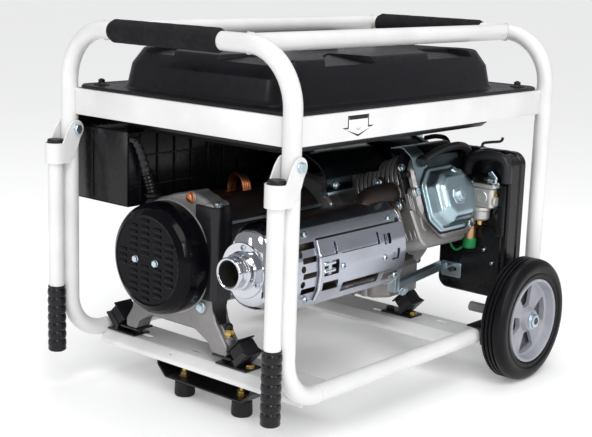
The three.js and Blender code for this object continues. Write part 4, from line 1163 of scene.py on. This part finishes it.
def fin_outline(x0, x1, h0, h1):
    return rounded([(x0, h0), (x1, h0), (x1, h1), (x0, h1)], [22, 22, 26, 46], 7)


def cooling_fins(piece, count, first, span):
    """Thick fins on a pitch of 9.8, with a dark plate filling each narrower gap between them as
    painted shade.
    """
    for i in range(count):
        low = first + i * 9.8
        gap = low + 6.6
        piece.leaning(fin_outline(*span), low, low + 6.8, CAST)
        x0, x1, h0, h1 = span
        # the dark plate in the gap is painted shade, not a part
        piece.leaning(fin_outline(x0 + 1.4, x1 - 2, h0 + 2, h1 - 2), gap, gap + 3.4, SOOT_AND_SHADE, 0)


def crankcase():
    """Main casting with its sump, bosses and the round seat of the fan housing."""
    piece = Piece("crankcase_casting")
    outline = [(-46, 137), (178, 137), (178, 148), (166, 162), (166, 262), (140, 300), (118, 318),
               (100, 338), (30, 342), (-22, 306), (-40, 262), (-44, 190), (-46, 148)]
    # the main body uses the darker cast copy: painted shade
    piece.prism(rounded(outline, [3, 3, 4, 12, 30, 24, 14, 16, 26, 20, 18, 16, 4], 4), 44.3, 212,
                SHADED_CAST, 4, "x")
    for x in (60, 92, 124, 156, 188):
        piece.box((x - 2, x + 2), (-50, 182), (137.4, 152), SHADED_CAST, 1)
    piece.turned([(18.3, 208), (119, 208), (120, 210), (120, 221.6), (18.3, 221.6)], SHADED_CAST,
                 72, 1)
    piece.leaning(box_outline(84, 208, -62, 62, 14), 84, 190, SHADED_CAST, 2)
    cooling_fins(piece, 7, 121, (72, 220, -84, 80))
    sump = rounded([(66, -36), (196, -36), (196, -82), (170, -104), (92, -104), (66, -82)], 12, 4)
    piece.prism(sump, 137.4, 196, SHADED_CAST, 6)
    for x, y in ((70, -66), (192, -66)):
        piece.rod((x, y, 139), (x, y, 160), 8, CAST, 1.2)
    piece.rod((110, -100, 160), (110, -118, 152), 9, CAST, 1)
    piece.bolt((110, -117, 152.4), (0, -0.92, -0.4), 5, ZINC, washer=2, height=5)
    piece.rod((58, -48, 250), (58, -30, 250), 16, CAST, 2)
    for i in range(6):
        a = radians(i * 60 + 12)
        y, z = AXIS[1] + 96 * cos(a), AXIS[2] + 88 * sin(a)
        if y < 150:
            piece.bolt((44.2, y, z), LEFT, 3.6, ZINC, washer=1.8, height=3)
    piece.done("frame", "cast_aluminium", "crankcase")


def cylinder_head():
    """Finned head with its port side cast smooth, gasket plate, zinc sheet and stubs."""
    piece = Piece("head_casting")
    # the head block inside the fins uses the darker cast copy: painted shade
    piece.leaning(box_outline(86, 206, -58, 58, 12), 190.4, 236, SHADED_CAST, 2)
    span = (71, 221, -78, 82)
    cooling_fins(piece, 3, 191.5, span)
    piece.leaning(fin_outline(*span), 220.6, 228, CAST, 1.6)
    piece.leaning(rounded([(67, -20), (76, -85), (216, -86), (216, 0), (100, 4), (67, 2)],
                        [20, 26, 26, 4, 4, 4], 5), 126, 234, CAST, 3)
    piece.leaning(rounded([(63, -8), (110, -14), (218, -20), (224, 82), (84, 88), (63, 64)],
                        [6, 6, 10, 26, 22, 16], 6), 228.4, 231.4, BLACK, 0.8)
    seat = rounded([(77, 52), (74, -20), (128, -76), (208, -76), (218, -60), (218, 60), (200, 72),
                    (94, 72)], [14, 30, 24, 14, 14, 14, 14, 18], 6)
    piece.leaning(seat, 231.4, 249.6, CAST, 6)
    piece.rod((64, -115, 328), (92, -115, 328), 21, SHADED_CAST, 2)
    piece.rod((200, -152, 300), (221.6, -152, 300), 15, CAST, 2)
    for x, h in ((206, -62), (78, 12)):
        piece.rod(place(x, h, 232), place(x, h, 246), 9.5, CAST, 2)
        piece.bolt(place(x, h, 246), OUTWARD, 4.2, ZINC, washer=1.8, height=4)
    for i in range(3):
        piece.leaning(box_outline(63 + i * 4.4, 65.6 + i * 4.4, -14 - i * 3, 12 - i * 4), 229, 238,
                    CAST, 0.5)
    sheet = rounded([(252, 20), (252, 72), (238, 92), (214, 96)], [0, 22, 16, 0], 7, closed=False)
    under = [(d - 1.6, h - 1.6) for d, h in sheet]
    for x0, x1, mat in ((79, 116, COVER_ZINC), (116, 214, SHROUD)):
        piece.prism(flip(sheet + under[::-1]), x0, x1, mat, 0,
                    turn=CYL @ AXES["x"], origin=AXIS)
    piece.bolt(place(69, 58, 231.4), OUTWARD, 3.6, ZINC, washer=2, height=5)
    piece.rod(place(70, 44, 231.4), place(70, 44, 246), 6, MATT_BLACK, 1.5)
    piece.done("frame", "cast_aluminium", "cylinder_head")


def valve_cover():
    """Pressed cover: an eight-sided rim on a black gasket, a drawn dome and a clamp."""
    piece = Piece("rocker_cover")
    mid_x, mid_h = 147, -9  # the cover's middle along the shaft and across the cylinder

    def eight(w, h, z):
        cut = 0.4 * w
        shape = [(-w, -h + cut), (-w + cut, -h), (w - cut, -h), (w, -h + cut), (w, h - cut),
                 (w - cut, h), (-w + cut, h), (-w, h - cut)]
        return [(mid_x + u, mid_h + v, z) for u, v in rounded(shape, w * 0.26, 5)]

    piece.loft([eight(65.5, 58.5, z) for z in (249.9, 252.4)], MATT_BLACK, CYL, AXIS)
    levels = [(63, 56, 252), (63, 56, 254), (62.2, 55.2, 255.2), (60.5, 53.5, 255.8),
              (57.5, 50.5, 256.2), (56, 49, 257.2), (54.8, 47.8, 260), (53.6, 46.6, 268),
              (52, 45, 273.5), (49.5, 42.5, 277), (46, 39, 279.2), (43.6, 36.6, 281.4),
              (41.6, 34.6, 284.4), (38.6, 31.6, 286.4), (33, 26, 287.3), (20, 15, 287.6)]
    piece.loft([eight(*s) for s in levels], COVER_ZINC, CYL, AXIS)
    clamp = rounded([(-15, -13), (8, -15), (15, 0), (8, 15), (-15, 13), (-20, 0)], 4, 3)
    piece.leaning([(mid_x - 8 + u, mid_h - 1 + v) for u, v in clamp], 286.6, 289, ZINC, 0.8)
    piece.bolt(place(mid_x - 8, mid_h - 1, 289), OUTWARD, 5, ZINC, washer=2, height=4.6)
    bump = place(mid_x + 10, mid_h + 40, 266)
    piece.rod(bump, bump + CYL @ Vector((0, 5, 12)), 8, COVER_ZINC, 3)
    piece.done("frame", "zinc_plate", "valve_cover", smooth=40)


def cooling_shroud():
    """Rolled can and sheet over the barrel, with clamp band, lug and a cable."""
    piece = Piece("barrel_shroud")
    y, z = -30, 350
    can = [(128, 0), (128, 52), (131, 55.6), (240, 56), (254, 54), (261, 44), (262, 30), (262, 0)]
    piece.lathe(rounded([(r, x) for x, r in can], [0, 3, 2, 12, 10, 8, 4, 0], 4, closed=False),
                SHROUD, axis="x", origin=(0, y, z), sides=72, start=22, sweep=122)
    piece.prism(arc(y, z, 57.6, 24, 142, 18) + arc(y, z, 55.4, 142, 24, 18), 226, 233, MATT_BLACK,
                0.6, "x")
    piece.box((232, 250), (-46, -24), (403, 409), COVER_ZINC, 1.2)
    piece.bolt((241, -36, 409), UP, 3.6, ZINC, washer=2, height=3)
    piece.tube(curl([(238, -60, 404), (236, -84, 410), (228, -110, 410), (222, -124, 398),
                     (226, -132, 382)], 3), 4.4, MATT_BLACK, sides=16)
    top = rounded([(10, 400), (-30, 398), (-58, 384), (-74, 360), (-75.5, 335)],
                  [0, 30, 30, 16, 0], 6, closed=False)
    for line, x0, x1 in ((top, -58, 10), (top[:-6], 10, 128)):
        under = [(v + 1.6, w - 1.6) for v, w in line]
        piece.prism(line + under[::-1], x0, x1, SHROUD, 0, "x")
    piece.box((-58, 10), (-79, -75), (334.6, 341), ZINC, 0.6)
    piece.bolt((-36, -75.2, 350), (0, -1, 0), 3.6, ZINC, washer=2, height=3)
    piece.done("frame", "zinc_plate", "cooling_shroud", smooth=50)


def wiring_loom():
    """Control module with its fins, and two hoses, all under the tank."""
    loom = Piece("wiring_loom")
    loom.box((16, 128), (62, 118), (338, 396), MOULDED, 4)
    for i in range(5):
        loom.box((30 + 18 * i, 36 + 18 * i), (60, 63), (350, 386), MOULDED, 0.8)
    loom.box((60, 90), (80, 100), (394, 460), MATT_BLACK, 2)
    loom.tube(curl([(60, 60, 452), (100, 30, 430), (160, 0, 426), (220, -40, 440)], 4), 6,
              MATT_BLACK, sides=14)
    loom.tube(curl([(-60, 110, 440), (0, 60, 424), (80, 40, 420), (130, 20, 444)], 4), 5,
              MATT_BLACK, sides=14)
    loom.done("frame", "dark_plastic")


def fan_housing():
    """Spun housing with its mouth ring and four fixing bolts."""
    piece = Piece("blower_housing")
    piece.turned(rounded([(122, 222.4), (126, 222.4), (124.8, 226), (124.8, 288), (114, 299.8),
                         (64, 299.8), (64, 297), (112, 297), (122, 286.6)],
                        [0.3, 0.5, 2, 8, 6, 0.5, 0.5, 5, 6], 3),
                BLACK, 96)
    for i in range(10):
        turn = spoke(radians(i * 36 + 10))[1]
        piece.box((298.6, 300.6), (-1.4, 1.4), (84, 112), BLACK, 0.6, turn=turn, origin=AXIS)
    for angle in (45, 135, 225, 315):
        piece.bolt((296, *polar(118, angle)), RIGHT, 3.8, ZINC, washer=2, height=3)
    piece.done("frame", "black_enamel", "fan_housing")


def recoil_starter():
    piece = Piece("recoil_housing")
    piece.turned(rounded([(0, 324), (24, 324), (28, 322.6), (62, 322.6), (68, 321), (78, 311),
                         (78.6, 300.6), (82, 300.6), (82, 298.4), (75, 298.4), (75, 309),
                         (66, 318), (0, 319)], [0, 1, 1, 1, 4, 4, 1, 0.5, 0.5, 0.5, 3, 3, 0], 3,
                        closed=False), BLACK, 80)

    def slots(tool):
        for count, radius, length in ((10, 39, 12), (16, 56, 10)):
            for i in range(count):
                out, turn = spoke(2 * pi * (i + 0.5) / count)
                slot = box_outline(-2.6, 2.6, -length / 2, length / 2, 2.4)
                tool.prism(slot, 310, 330, BLACK, 0, turn=turn @ AXES["x"],
                           origin=Vector(AXIS) + out * radius)

    for angle in (30, 150, 270):
        piece.bolt((301, *polar(79, angle)), RIGHT, 3, ZINC, height=2.6)
    piece.done("frame", "black_enamel", "recoil_cover", cutters=[cutter("recoil_slots", slots)])
    grip = Piece("starter_grip")
    z = AXIS[2] - 18
    grip.lathe([(0, 324.4), (5, 324.4), (8.4, 327), (9, 331), (7, 340), (0, 342)], MATT_BLACK,
               axis="x", origin=(0, AXIS[1], z), sides=32, soft=0.8)
    bar = [(0, -42), (6, -41.5), (9.4, -36), (9.8, -22), (8.6, 0), (9.8, 22), (9.4, 36), (6, 41.5),
           (0, 42)]
    grip.lathe(rounded(bar, 6, 4, closed=False), MATT_BLACK, axis="y",
               origin=(341, AXIS[1], z), sides=36)
    grip.done("starter_grip", "dark_plastic", "recoil_handle")


def carburettor():
    """Cast body with bowl, flanges, linkage, brass shut-off valve and its green cap."""
    piece = Piece("carburettor_body")
    y, z = -152, 300  # middle of the intake's bore
    mid = 233.5  # middle of the body along x
    piece.prism(box_outline(y - 24, y + 22, z - 22, z + 22, 8), 222, 226, CARB, 0.8, "x")
    piece.prism(box_outline(y - 26, y + 22, z - 24, z + 24, 8), 241, 245, CARB, 0.8, "x")
    for x0, x1, y0, y1, radius, low, high, mat, bevel in (
            (224, 243, -217, -136, 7, 297, 333, CARB, 2.4),
            (221.4, 245, -222, -168, 5, 333.5, 340, CARB, 1.4),
            (223, 243, -206, -160, 7, 342, 353, MOULDED, 3)):
        piece.prism(box_outline(x0, x1, y0, y1, radius, 4), low, high, mat, bevel)
    for dx, y_at in ((-8, -217), (8, -217), (-8, -173), (8, -173)):
        piece.screw((mid + dx, y_at, 340), UP, 3.2, ZINC)
    bowl = [(0, 273), (11, 273), (15.4, 277), (16.4, 291), (18, 292), (18, 297.5), (0, 297.5)]
    piece.lathe(bowl, CARB, origin=(mid, -190, 0), sides=48, soft=1.4)
    for start, end, radius, mat, bevel, sides in (
            ((mid, -190, 264), (mid, -190, 274), 5, BRASS, 1, 6),
            ((mid, -215, 310), (mid, -221.4, 310), 9, CARB, 1.6, 24),
            ((mid, -217, 322), (mid, -221.6, 322), 3.4, BRASS, 0.8, 24),
            ((222.6, -196, 316), (229, -196, 316), 12, CARB, 2, 24),
            ((mid, -170, 262), (mid, -170, 298), 9, CARB, 1, 24),
            ((mid, -170, 256), (mid, -170, 262.5), 13, BRASS, 1, 6),
            ((mid, -170, 236), (mid, -170, 258), 11, LIGHT_BRONZE, 1, 24),
            ((229, -214, 346), (229, -176, 350), 3, CARB, 1, 24),
            ((226, -221, 343), (226, -221, 352), 2.6, ZINC, 0.6, 24)):
        piece.rod(start, end, radius, mat, bevel, sides)
    piece.lathe([(0, 219), (10, 219), (11.8, 222), (11.8, 235), (11, 238), (0, 238)], GREEN,
                origin=(mid, -170, 0), sides=40, soft=1.2)
    piece.tube(curl([(mid - 6, -160, 220), (228, -146, 212), (223, -138, 222), (221, -134, 246),
                     (221, -136, 270)], 3), 2.2, GREEN, sides=12)
    link = [(-216, 341), (-206, 341), (-198, 358), (-206, 362), (-218, 350)]
    piece.prism(link, 236, 238.4, ZINC, 0.5, "x")
    piece.tube([(225, -222, 347), (226, -216, 346), (240, -208, 346), (242, -182, 345)], 1.5, ZINC,
               sides=10)
    piece.box((222, 236), (-222, -206), (343, 345), ZINC, 0.5)
    piece.tube(curl([(240, -186, 330), (243, -214, 330), (240, -221, 312), (237, -214, 288)], 2),
               2.4, MATT_BLACK, sides=12)
    piece.done("frame", "cast_aluminium", "carburettor")


def air_cleaner():
    """Moulded box with a stepped lid line, an intake duct arching over its face and hoses."""
    piece = Piece("air_cleaner_box")
    y0, y1, z0, z1 = -241, -96, 131, 394
    piece.prism(box_outline(y0 + 2, y1 - 2, z0 + 2, z1 - 2, 20, 7), 245.4, 280, MOULDED, 3, "x")
    piece.prism(box_outline(y0, y1, z0, z1, 22, 7), 272, 295, MOULDED, 5, "x")
    piece.prism(box_outline(y0 + 12, y1 - 12, z0 + 18, 262, 12, 5), 242.6, 247, MOULDED, 2, "x")
    duct = curl([(246, -150, 340), (245, -151, 362), (244, -160, 379), (243, -182, 387),
                 (243, -208, 388), (244, -226, 382), (245, -231, 366), (246, -231, 344)], 3)
    piece.tube(duct, 9, DUCT, sides=20)
    piece.box((238, 246), (-234, -214), (246, 340), MOULDED, 3)
    for y, z in ((-226, 300), (-214, 196), (-196, 218)):
        piece.rod((240.5, y, z), (247, y, z), 6, MOULDED, 1.4)
        piece.screw((240.6, y, z), LEFT, 3.2, ZINC)
    for z in (165, 210, 250):
        piece.box((243.6, 246), (y0 + 18, y1 - 18), (z - 1.2, z + 1.2), MOULDED, 0.5)
    for y in (-126, -148, -210):
        piece.box((262, 276), (y - 5, y + 5), (391, 397), MOULDED, 1.6)
    piece.tube(curl([(104, -150, 388), (134, -152, 397), (170, -152, 403), (208, -152, 404),
                     (238, -150, 396), (256, -146, 380)], 3), 7, DUCT, sides=20)
    piece.rod((98, -150, 384), (108, -150, 390), 9.5, MATT_BLACK, 2)
    piece.done("frame", "gloss_cover", "air_cleaner")


def choke_lever():
    piece = Piece("choke_rod")
    piece.lathe([(0, 397.3), (7.5, 397.3), (7.5, 399.4), (4, 401), (0, 401)], ZINC,
                origin=(254, -172, 0), sides=28, soft=0.4)
    piece.tube(curl([(254, -172, 399), (254, -172, 403), (258, -173, 406.5), (276, -178, 407),
                     (292, -183, 407), (298, -184.5, 409), (300, -185, 414)], 1.5), 2.5,
               MATT_BLACK, sides=14)
    piece.done("choke", "zinc_plate", "choke_lever")


def support_strut():
    """Channel-section strut from the engine to the air cleaner's slotted foot."""
    piece = Piece("air_cleaner_stay")
    for dy in (-131.6, -117.4):
        side = rounded([(70, 161), (224, 176), (224, 188), (70, 173)], [3, 3, 4, 3], 3)
        piece.prism(flip(side), dy - 1, dy + 1, ZINC, 0.4, "y")
    web = [(70, 161), (224, 176), (224, 178.2), (70, 163.2)]
    piece.prism(flip(web), -132, -117, ZINC, 0.4, "y")
    piece.box((66, 78), (-133, -116), (158, 206), ZINC, 0.8)
    piece.box((220, 243), (-132, -117), (175.6, 178), ZINC, 0.6)
    piece.prism(box_outline(-150, -107, 156, 184, 4), 241.8, 244.6, ZINC, 0.5, "x")
    # the slot in the foot is a thin black plate: painted shade
    piece.prism(box_outline(-141, -125, 168, 175, 3.4), 241.2, 242.2, INK_AND_SHADE, 0, "x")
    piece.bolt((241.6, -130, 171.5), LEFT, 3.6, STEEL, washer=1.7, height=2.6)
    piece.bolt((78, -124, 172), (0, 0, -1), 4, ZINC, washer=2, height=3.4)
    piece.done("frame", "zinc_plate", "air_cleaner_strut")


crankcase()
cylinder_head()
valve_cover()
cooling_shroud()
wiring_loom()
fan_housing()
recoil_starter()
carburettor()
air_cleaner()
choke_lever()
support_strut()


# ------------------------------------------------------------------ muffler
MUFFLER = (-115, 258)  # y and z of its middle


def muffler_outline(grow):
    y, z = MUFFLER
    return box_outline(y - 45 - grow, y + 45 + grow, z - 68 - grow, z + 68 + grow, 42 + grow, 10)


def muffler_body():
    """Rolled shell with a crimped end seam and the cast elbow that feeds it."""
    piece = Piece("muffler_shell")
    piece.prism(muffler_outline(-1.2), -264, 46, SKIN, 8, "x")
    piece.prism(muffler_outline(0.3), 38, 44, SKIN, 1.6, "x")
    line = bent([(65, -115, 329), (-16, -115, 329), (-16, -115, 299)], [24], 3)
    piece.tube(line, lambda t: 19.8 - 2.2 * min(1, 2.4 * t), BRONZE, sides=36)
    flange = [(-150, 306), (-136, 298), (-94, 334), (-82, 350), (-96, 358), (-140, 324)]
    piece.prism(rounded(flange, 8, 4), 57, 64, BRONZE, 1.5, "x")
    for y, z in ((-136, 312), (-92, 346)):
        piece.bolt((57, y, z), LEFT, 4.6, ZINC, washer=1.9, height=4.5, tail=4)
    piece.done("frame", "muffler_steel", "muffler")


def muffler_outlet():
    """Chrome tail stub on a round flange with three screws, and the drawn end behind it."""
    piece = Piece("tail_pipe")
    y, z = -115, 257
    at = (0, y, z)
    piece.lathe(rounded([(20.4, -326), (20.4, -330.4), (23.4, -331.4), (25, -329.6), (24.6, -325),
                         (23.9, -322), (23.9, -314.5), (27.6, -313), (27.8, -304), (30, -302),
                         (30, -299), (20.4, -299)],
                        [0.6, 1.2, 1.2, 1, 2, 2, 1, 1, 1.4, 1, 0.3, 0.3], 3), CHROME, axis="x",
                origin=at, sides=72)
    piece.lathe([(0, -301), (19.2, -301), (19.2, -329.4), (20.8, -329.4), (20.8, -298), (0, -298)],
                SOOT_AND_SHADE, axis="x", origin=at, sides=56)
    piece.lathe([(0, -297), (42, -297), (43, -298), (43, -299.6), (42.2, -300.6), (0, -300.6)],
                CHROME, axis="x", origin=at, sides=72)
    neck = ((-19, -297.2), (-12, -292.5), (-6.5, -286), (-2.4, -277), (0, -268), (0.6, -256))
    piece.loft([[(x, u, v) for u, v in muffler_outline(grow)] for grow, x in neck], CHROME)
    for a in (88, 205, 332):
        a = radians(a)
        u, v = y - 35.5 * cos(a), z + 35.5 * sin(a)
        piece.screw((-300.6, u, v), LEFT, 4.4, ZINC)
    piece.done("frame", "bright_steel", "muffler_outlet", smooth=50)


def muffler_shield():
    """Bright guard round the near side: a base sheet, a raised pierced panel and its trim."""
    x0, x1 = -262, 25
    mid = Vector(MUFFLER)
    shape = rounded([(-138, 324), (-153, 315), (-167, 299), (-176, 272), (-178, 250), (-175, 222),
                     (-166, 201), (-153, 189), (-140, 183)], [0, 14, 20, 30, 30, 30, 20, 14, 0], 6,
                    closed=False)

    def offset(points, out):
        """The outline moved this far away from the muffler's middle."""
        return [tuple(Vector(p) + (Vector(p) - mid).normalized() * out) for p in points]

    def punch(*outlines):
        """A builder of slots and holes through the near side, from x-z outlines."""
        through = Matrix(((1, 0, 0), (0, 0, 1), (0, 1, 0)))
        return lambda tool: [tool.prism(o, -200, -150, GUARD, 0, turn=through) for o in outlines]

    def slots(spans):
        return [box_outline(*span, 1.6, 2) for span in spans]

    dark = ((-195, 18, 296.4, 299.2), (-33, -26, 267, 284), (-23, -15, 267, 284),
            (-186, -150, 240, 263), (-187, -149, 216, 230), (-137, -42, 206, 222),
            (-28, 12, 203, 217))
    left = ((-240, -200, 286, 296), (-232, -200, 266, 275), (-232, -200, 242, 251),
            (-234, -200, 218, 227))

    round_holes = [ring(x, z, 5.4, 16) for x, z in ((-236, 281), (-231, 258), (-231, 234))]
    piece = Piece("muffler_guard")
    piece.prism(shape + offset(shape, -1.3)[::-1], x0, x1, GUARD, 0, "x")
    piece.done("frame", "bright_steel", "muffler_shield", smooth=40,
               cutters=[cutter("guard_windows", punch(*slots(dark + left))),
                        cutter("guard_holes", punch(*round_holes))])
    middle = [p for p in shape if 202 < p[1] < 296]
    panel = Piece("guard_panel")
    panel.prism(offset(middle, 3.4) + offset(middle, 2.2)[::-1], -195, 24, GUARD, 0, "x")
    wide = ((-196, -152, 271, 290), (-143, -44, 270, 289), (-12, 9, 238, 256))
    panel.done("frame", "bright_steel", smooth=40,
               cutters=[cutter("panel_windows", punch(*slots(dark[1:] + wide)))])
    trim = Piece("guard_trim")
    trim.tube([(-195, y, z) for y, z in offset(middle, 3)], 2.6, CHROME, sides=14)
    for x in (x0 + 1, x1 - 1):
        trim.tube([(x, y, z) for y, z in shape], 1.3, CHROME, sides=10)
    for x, y, z in ((-214, -162, 308), (-4, -163, 304), (-220, -172, 208), (-141, -181.4, 250),
                    (-33, -181.4, 246), (10, -170, 208)):
        trim.screw((x, y, z), (0, -1, 0.3 if z > 300 else 0), 5, ZINC)
    trim.rod((14, -164, 299), (14, -166.6, 301), 3.6, INK_AND_SHADE, 0.4)
    for z in (246, 258):
        trim.rod((-182, -174, z), (-154, -174, z), 4.6, CHROME, 1.5)
    trim.box((-172, -164), (-178, -170), (240, 263), ZINC, 1)
    trim.done("frame", "bright_steel")


muffler_body()
muffler_outlet()
muffler_shield()


# ------------------------------------------------------------------ control panel
PANEL_X = (-318, 110)  # left and right edge
LID_X, LID_Z = (-230, -120), 388  # middles of the two sockets
KEY_X, KEY_Z = 20, 395


def panel_case():
    """Black box under the tank; ribbed back and turned-in flanges."""
    piece = Piece("panel_box")
    x0, x1 = PANEL_X
    y0, y1, z0, z1 = 122, 245.8, 319, 441
    x, y, z = (x0, x1), (y0, y1), (z0, z1)
    for spans in ((x, (y0, y0 + 3), z), (x, y, (z0, z0 + 3)), (x, y, (z1 - 3, z1)),
                  ((x0, x0 + 3), y, z), ((x1 - 3, x1), y, z)):
        piece.box(*spans, MOULDED, 1)
    for i in range(11):
        x = x0 + 24 + i * 38
        piece.box((x - 1.2, x + 1.2), (y0 - 4, y0 + 1), (z0 + 6, z1 - 6), MOULDED, 0.5)
    for z in (352, 400):
        piece.box((x0 + 10, x1 - 10), (y0 - 3, y0 + 1), (z - 1.2, z + 1.2), MOULDED, 0.5)
    piece.box((x0 - 1.6, x0 + 1), (206, 209), (z0 + 6, z1 - 6), MOULDED, 0.5)
    piece.done("frame", "black_enamel", "panel_case")


def panel_face():
    """Operator side: plate with two sockets, meter, terminals and a key barrel."""
    piece = Piece("panel_plate")
    x0, x1 = PANEL_X
    z0, z1 = 319, 459.6
    piece.prism(flip(box_outline(x0, x1, z0, z1, 8, 5)), 246.3, 252, MATT_BLACK, 1.2,
                "y")
    for x in LID_X:
        piece.lathe([(24, 230), (24, 254.6), (27, 255), (29.4, 253), (30.5, 250), (30.5, 230)],
                    MATT_BLACK, axis="y", origin=(x, 0, LID_Z), sides=64, soft=0.5)
        piece.lathe([(0, 229), (25, 229), (25, 233), (0, 233)], MATT_BLACK, axis="y",
                    origin=(x, 0, LID_Z), sides=48)
        for a in (90, 210, 330):
            u, v = x + 9 * cos(radians(a)), LID_Z + 9 * sin(radians(a))
            piece.box((u - 1.4, u + 1.4), (232.6, 233.4), (v - 3.6, v + 3.6), BRASS, 0)
    at = (KEY_X, 0, KEY_Z)
    piece.lathe([(9.4, 215), (9.4, 254), (12, 254), (14, 252), (14, 215)], ZINC, axis="y",
                origin=at, sides=40, soft=0.4)
    piece.lathe([(0, 215), (10, 215), (10, 254), (0, 254)], ZINC, axis="y", origin=at, sides=32)
    for plate, low, high, mat, bevel in (
            (box_outline(-42, -18, 376, 414, 3), 251, 253.2, GREY, 0.6),
            (box_outline(50, 92, 374, 416, 4), 251, 254, GREY, 0.8),
            (box_outline(54, 88, 378, 412, 2), 253.6, 254.4, PAPER, 0.3)):
        piece.prism(flip(plate), low, high, mat, bevel, "y")
    for i in range(7):
        a = radians(30 + i * 20)
        u, v = 71 + 13 * cos(a), 388 + 13 * sin(a)
        piece.box((u - 0.4, u + 0.4), (254.3, 254.6), (v - 1.6, v + 1.6), INK_AND_SHADE, 0)
    piece.tube([(71, 254.9, 388), (63, 254.9, 398)], 0.5, RED, sides=8)
    for x, mat in ((-66, RED), (-52, MATT_BLACK)):
        piece.rod((x, 251, 350), (x, 262, 350), 6, mat, 1.2)
    piece.bolt((KEY_X, 252, 350), FAR, 4, BRASS, washer=2.1, height=4, tail=5)
    for x in (x0 + 12, x1 - 12):
        for z in (z0 + 12, z1 - 12):
            piece.screw((x, 252, z), FAR, 4, ZINC)
    piece.done("frame", "dark_plastic", "panel_face")


def outlet_lid(name, x):
    piece = Piece(f"socket_lid_{name}")
    back = 255.4
    piece.lathe([(0, back), (28, back), (30, back + 1.4), (29.6, back + 3.2), (26, back + 4),
                 (22, back + 3.4), (0, back + 4.2)], GREY, axis="y", origin=(x, 0, LID_Z),
                sides=64, soft=0.5)
    piece.box((x - 12, x + 12), (back, back + 3.4), (LID_Z + 24, LID_Z + 34), GREY, 0.8)
    piece.rod((x - 16, back + 2, LID_Z + 34), (x + 16, back + 2, LID_Z + 34), 3.8, GREY, 0.6)
    piece.box((x - 8, x + 8), (back, back + 6), (LID_Z - 33, LID_Z - 28), GREY, 1)
    piece.done(f"lid_{name}", "grey_plastic", f"outlet_lid_{name}")


def small_controls():
    key = Piece("key")
    key.rod((KEY_X, 254.4, KEY_Z), (KEY_X, 258.6, KEY_Z), 8.8, MATT_BLACK, 0.8)
    key.prism(flip(rounded([(14, 384), (26, 384), (27, 406), (13, 406)], 4, 4)), -3, 3, MATT_BLACK,
              1, "y", origin=(0, 268, 0))
    key.done("key", "dark_plastic", "ignition_key")
    breaker = Piece("breaker_rocker")
    breaker.rod((-38.2, 245, 395), (-21.8, 245, 395), 8.4, RED, 0.8)
    breaker.box((-36, -24), (246, 259), (393, 399.6), RED, 1.2)
    breaker.done("breaker", "red_plastic", "breaker_switch")


panel_case()
panel_face()
outlet_lid("left", LID_X[0])
outlet_lid("right", LID_X[1])
small_controls()


# ------------------------------------------------------------------ floor, light and camera
def studio():
    """Plain pale floor, an even sky and large soft lamps."""
    mat = new_material("studio_floor", (0.95, 0.95, 0.95), 0.8, emission_strength=0.16,
                       emission_color=(1, 1, 1, 1))
    n = Nodes(mat)
    n.tint(n.noise(2, 2), (0.945, 0.945, 0.945), (0.955, 0.955, 0.955))
    sweep = Piece("studio_floor")
    sweep.box((-40000, 40000), (-40000, 40000), (-6, -0.5), mat, 0)
    sweep.done(None, None)
    scene = bpy.context.scene
    scene.view_settings.view_transform = "Standard"
    world = bpy.data.worlds.new("studio")
    scene.world = world
    world.use_nodes = True
    background = world.node_tree.nodes["Background"]
    background.inputs["Color"].default_value = (0.97, 0.98, 1, 1)
    background.inputs["Strength"].default_value = 0.36
    lamps = (  # kind, place, aim, width (sun: angle), height, strength
        ("SUN", (-1.2, -1.3, 2.2), (0, 0, 0), 35, 0, 1.5),
        ("AREA", (-2.5, -2.7, 1.5), (-0.1, -0.1, 0.25), 0.35, 1.5, 26),
        ("AREA", (-0.2, -3.2, 0.9), (0.1, 0, 0.3), 1.4, 0.35, 16),
        ("AREA", (0.1, 0.1, 2.6), (0, 0, 0.3), 1.6, 1.0, 18),
        ("AREA", (-2.8, 1.2, 1.0), (0, 0, 0.3), 0.3, 1.4, 12))
    for i, (kind, spot, target, width, height, power) in enumerate(lamps):
        lamp = bpy.data.lights.new(f"lamp_{i}", kind)
        lamp.energy = power
        if kind == "SUN":
            lamp.angle = radians(width)
        else:
            lamp.shape = "RECTANGLE"
            lamp.size, lamp.size_y = width, height
        obj = bpy.data.objects.new(f"lamp_{i}", lamp)
        obj.location = spot
        aim = Vector(target) - Vector(spot)
        obj.rotation_euler = aim.to_track_quat("-Z", "Y").to_euler()
        scene.collection.objects.link(obj)


VIEW_FROM = (-1.61593, -1.34988, 0.71686)  # metres, before SHIFT
VIEW_ALONG = (0.74194, 0.63836, -0.20498)
VIEW_ROLL = 1.8086  # degrees


def camera():
    """The view of the photograph: from the muffler side at the handle end, slightly above."""
    cam = bpy.data.cameras.new("camera")
    cam.sensor_width = 36
    cam.lens = 75.48
    cam.clip_end = 60
    forward = Vector(VIEW_ALONG).normalized()
    roll = radians(VIEW_ROLL)
    right = forward.cross(Vector(UP)).normalized()
    up = right.cross(forward)
    side = right * cos(roll) + up * sin(roll)
    head = up * cos(roll) - right * sin(roll)
    pose = Matrix((side, head, -forward)).transposed().to_4x4()
    pose.translation = Vector(VIEW_FROM) + Vector((SHIFT * MM, 0, 0))
    obj = bpy.data.objects.new("camera", cam)
    obj.matrix_world = pose
    bpy.context.scene.collection.objects.link(obj)
    bpy.context.scene.camera = obj


studio()
camera()
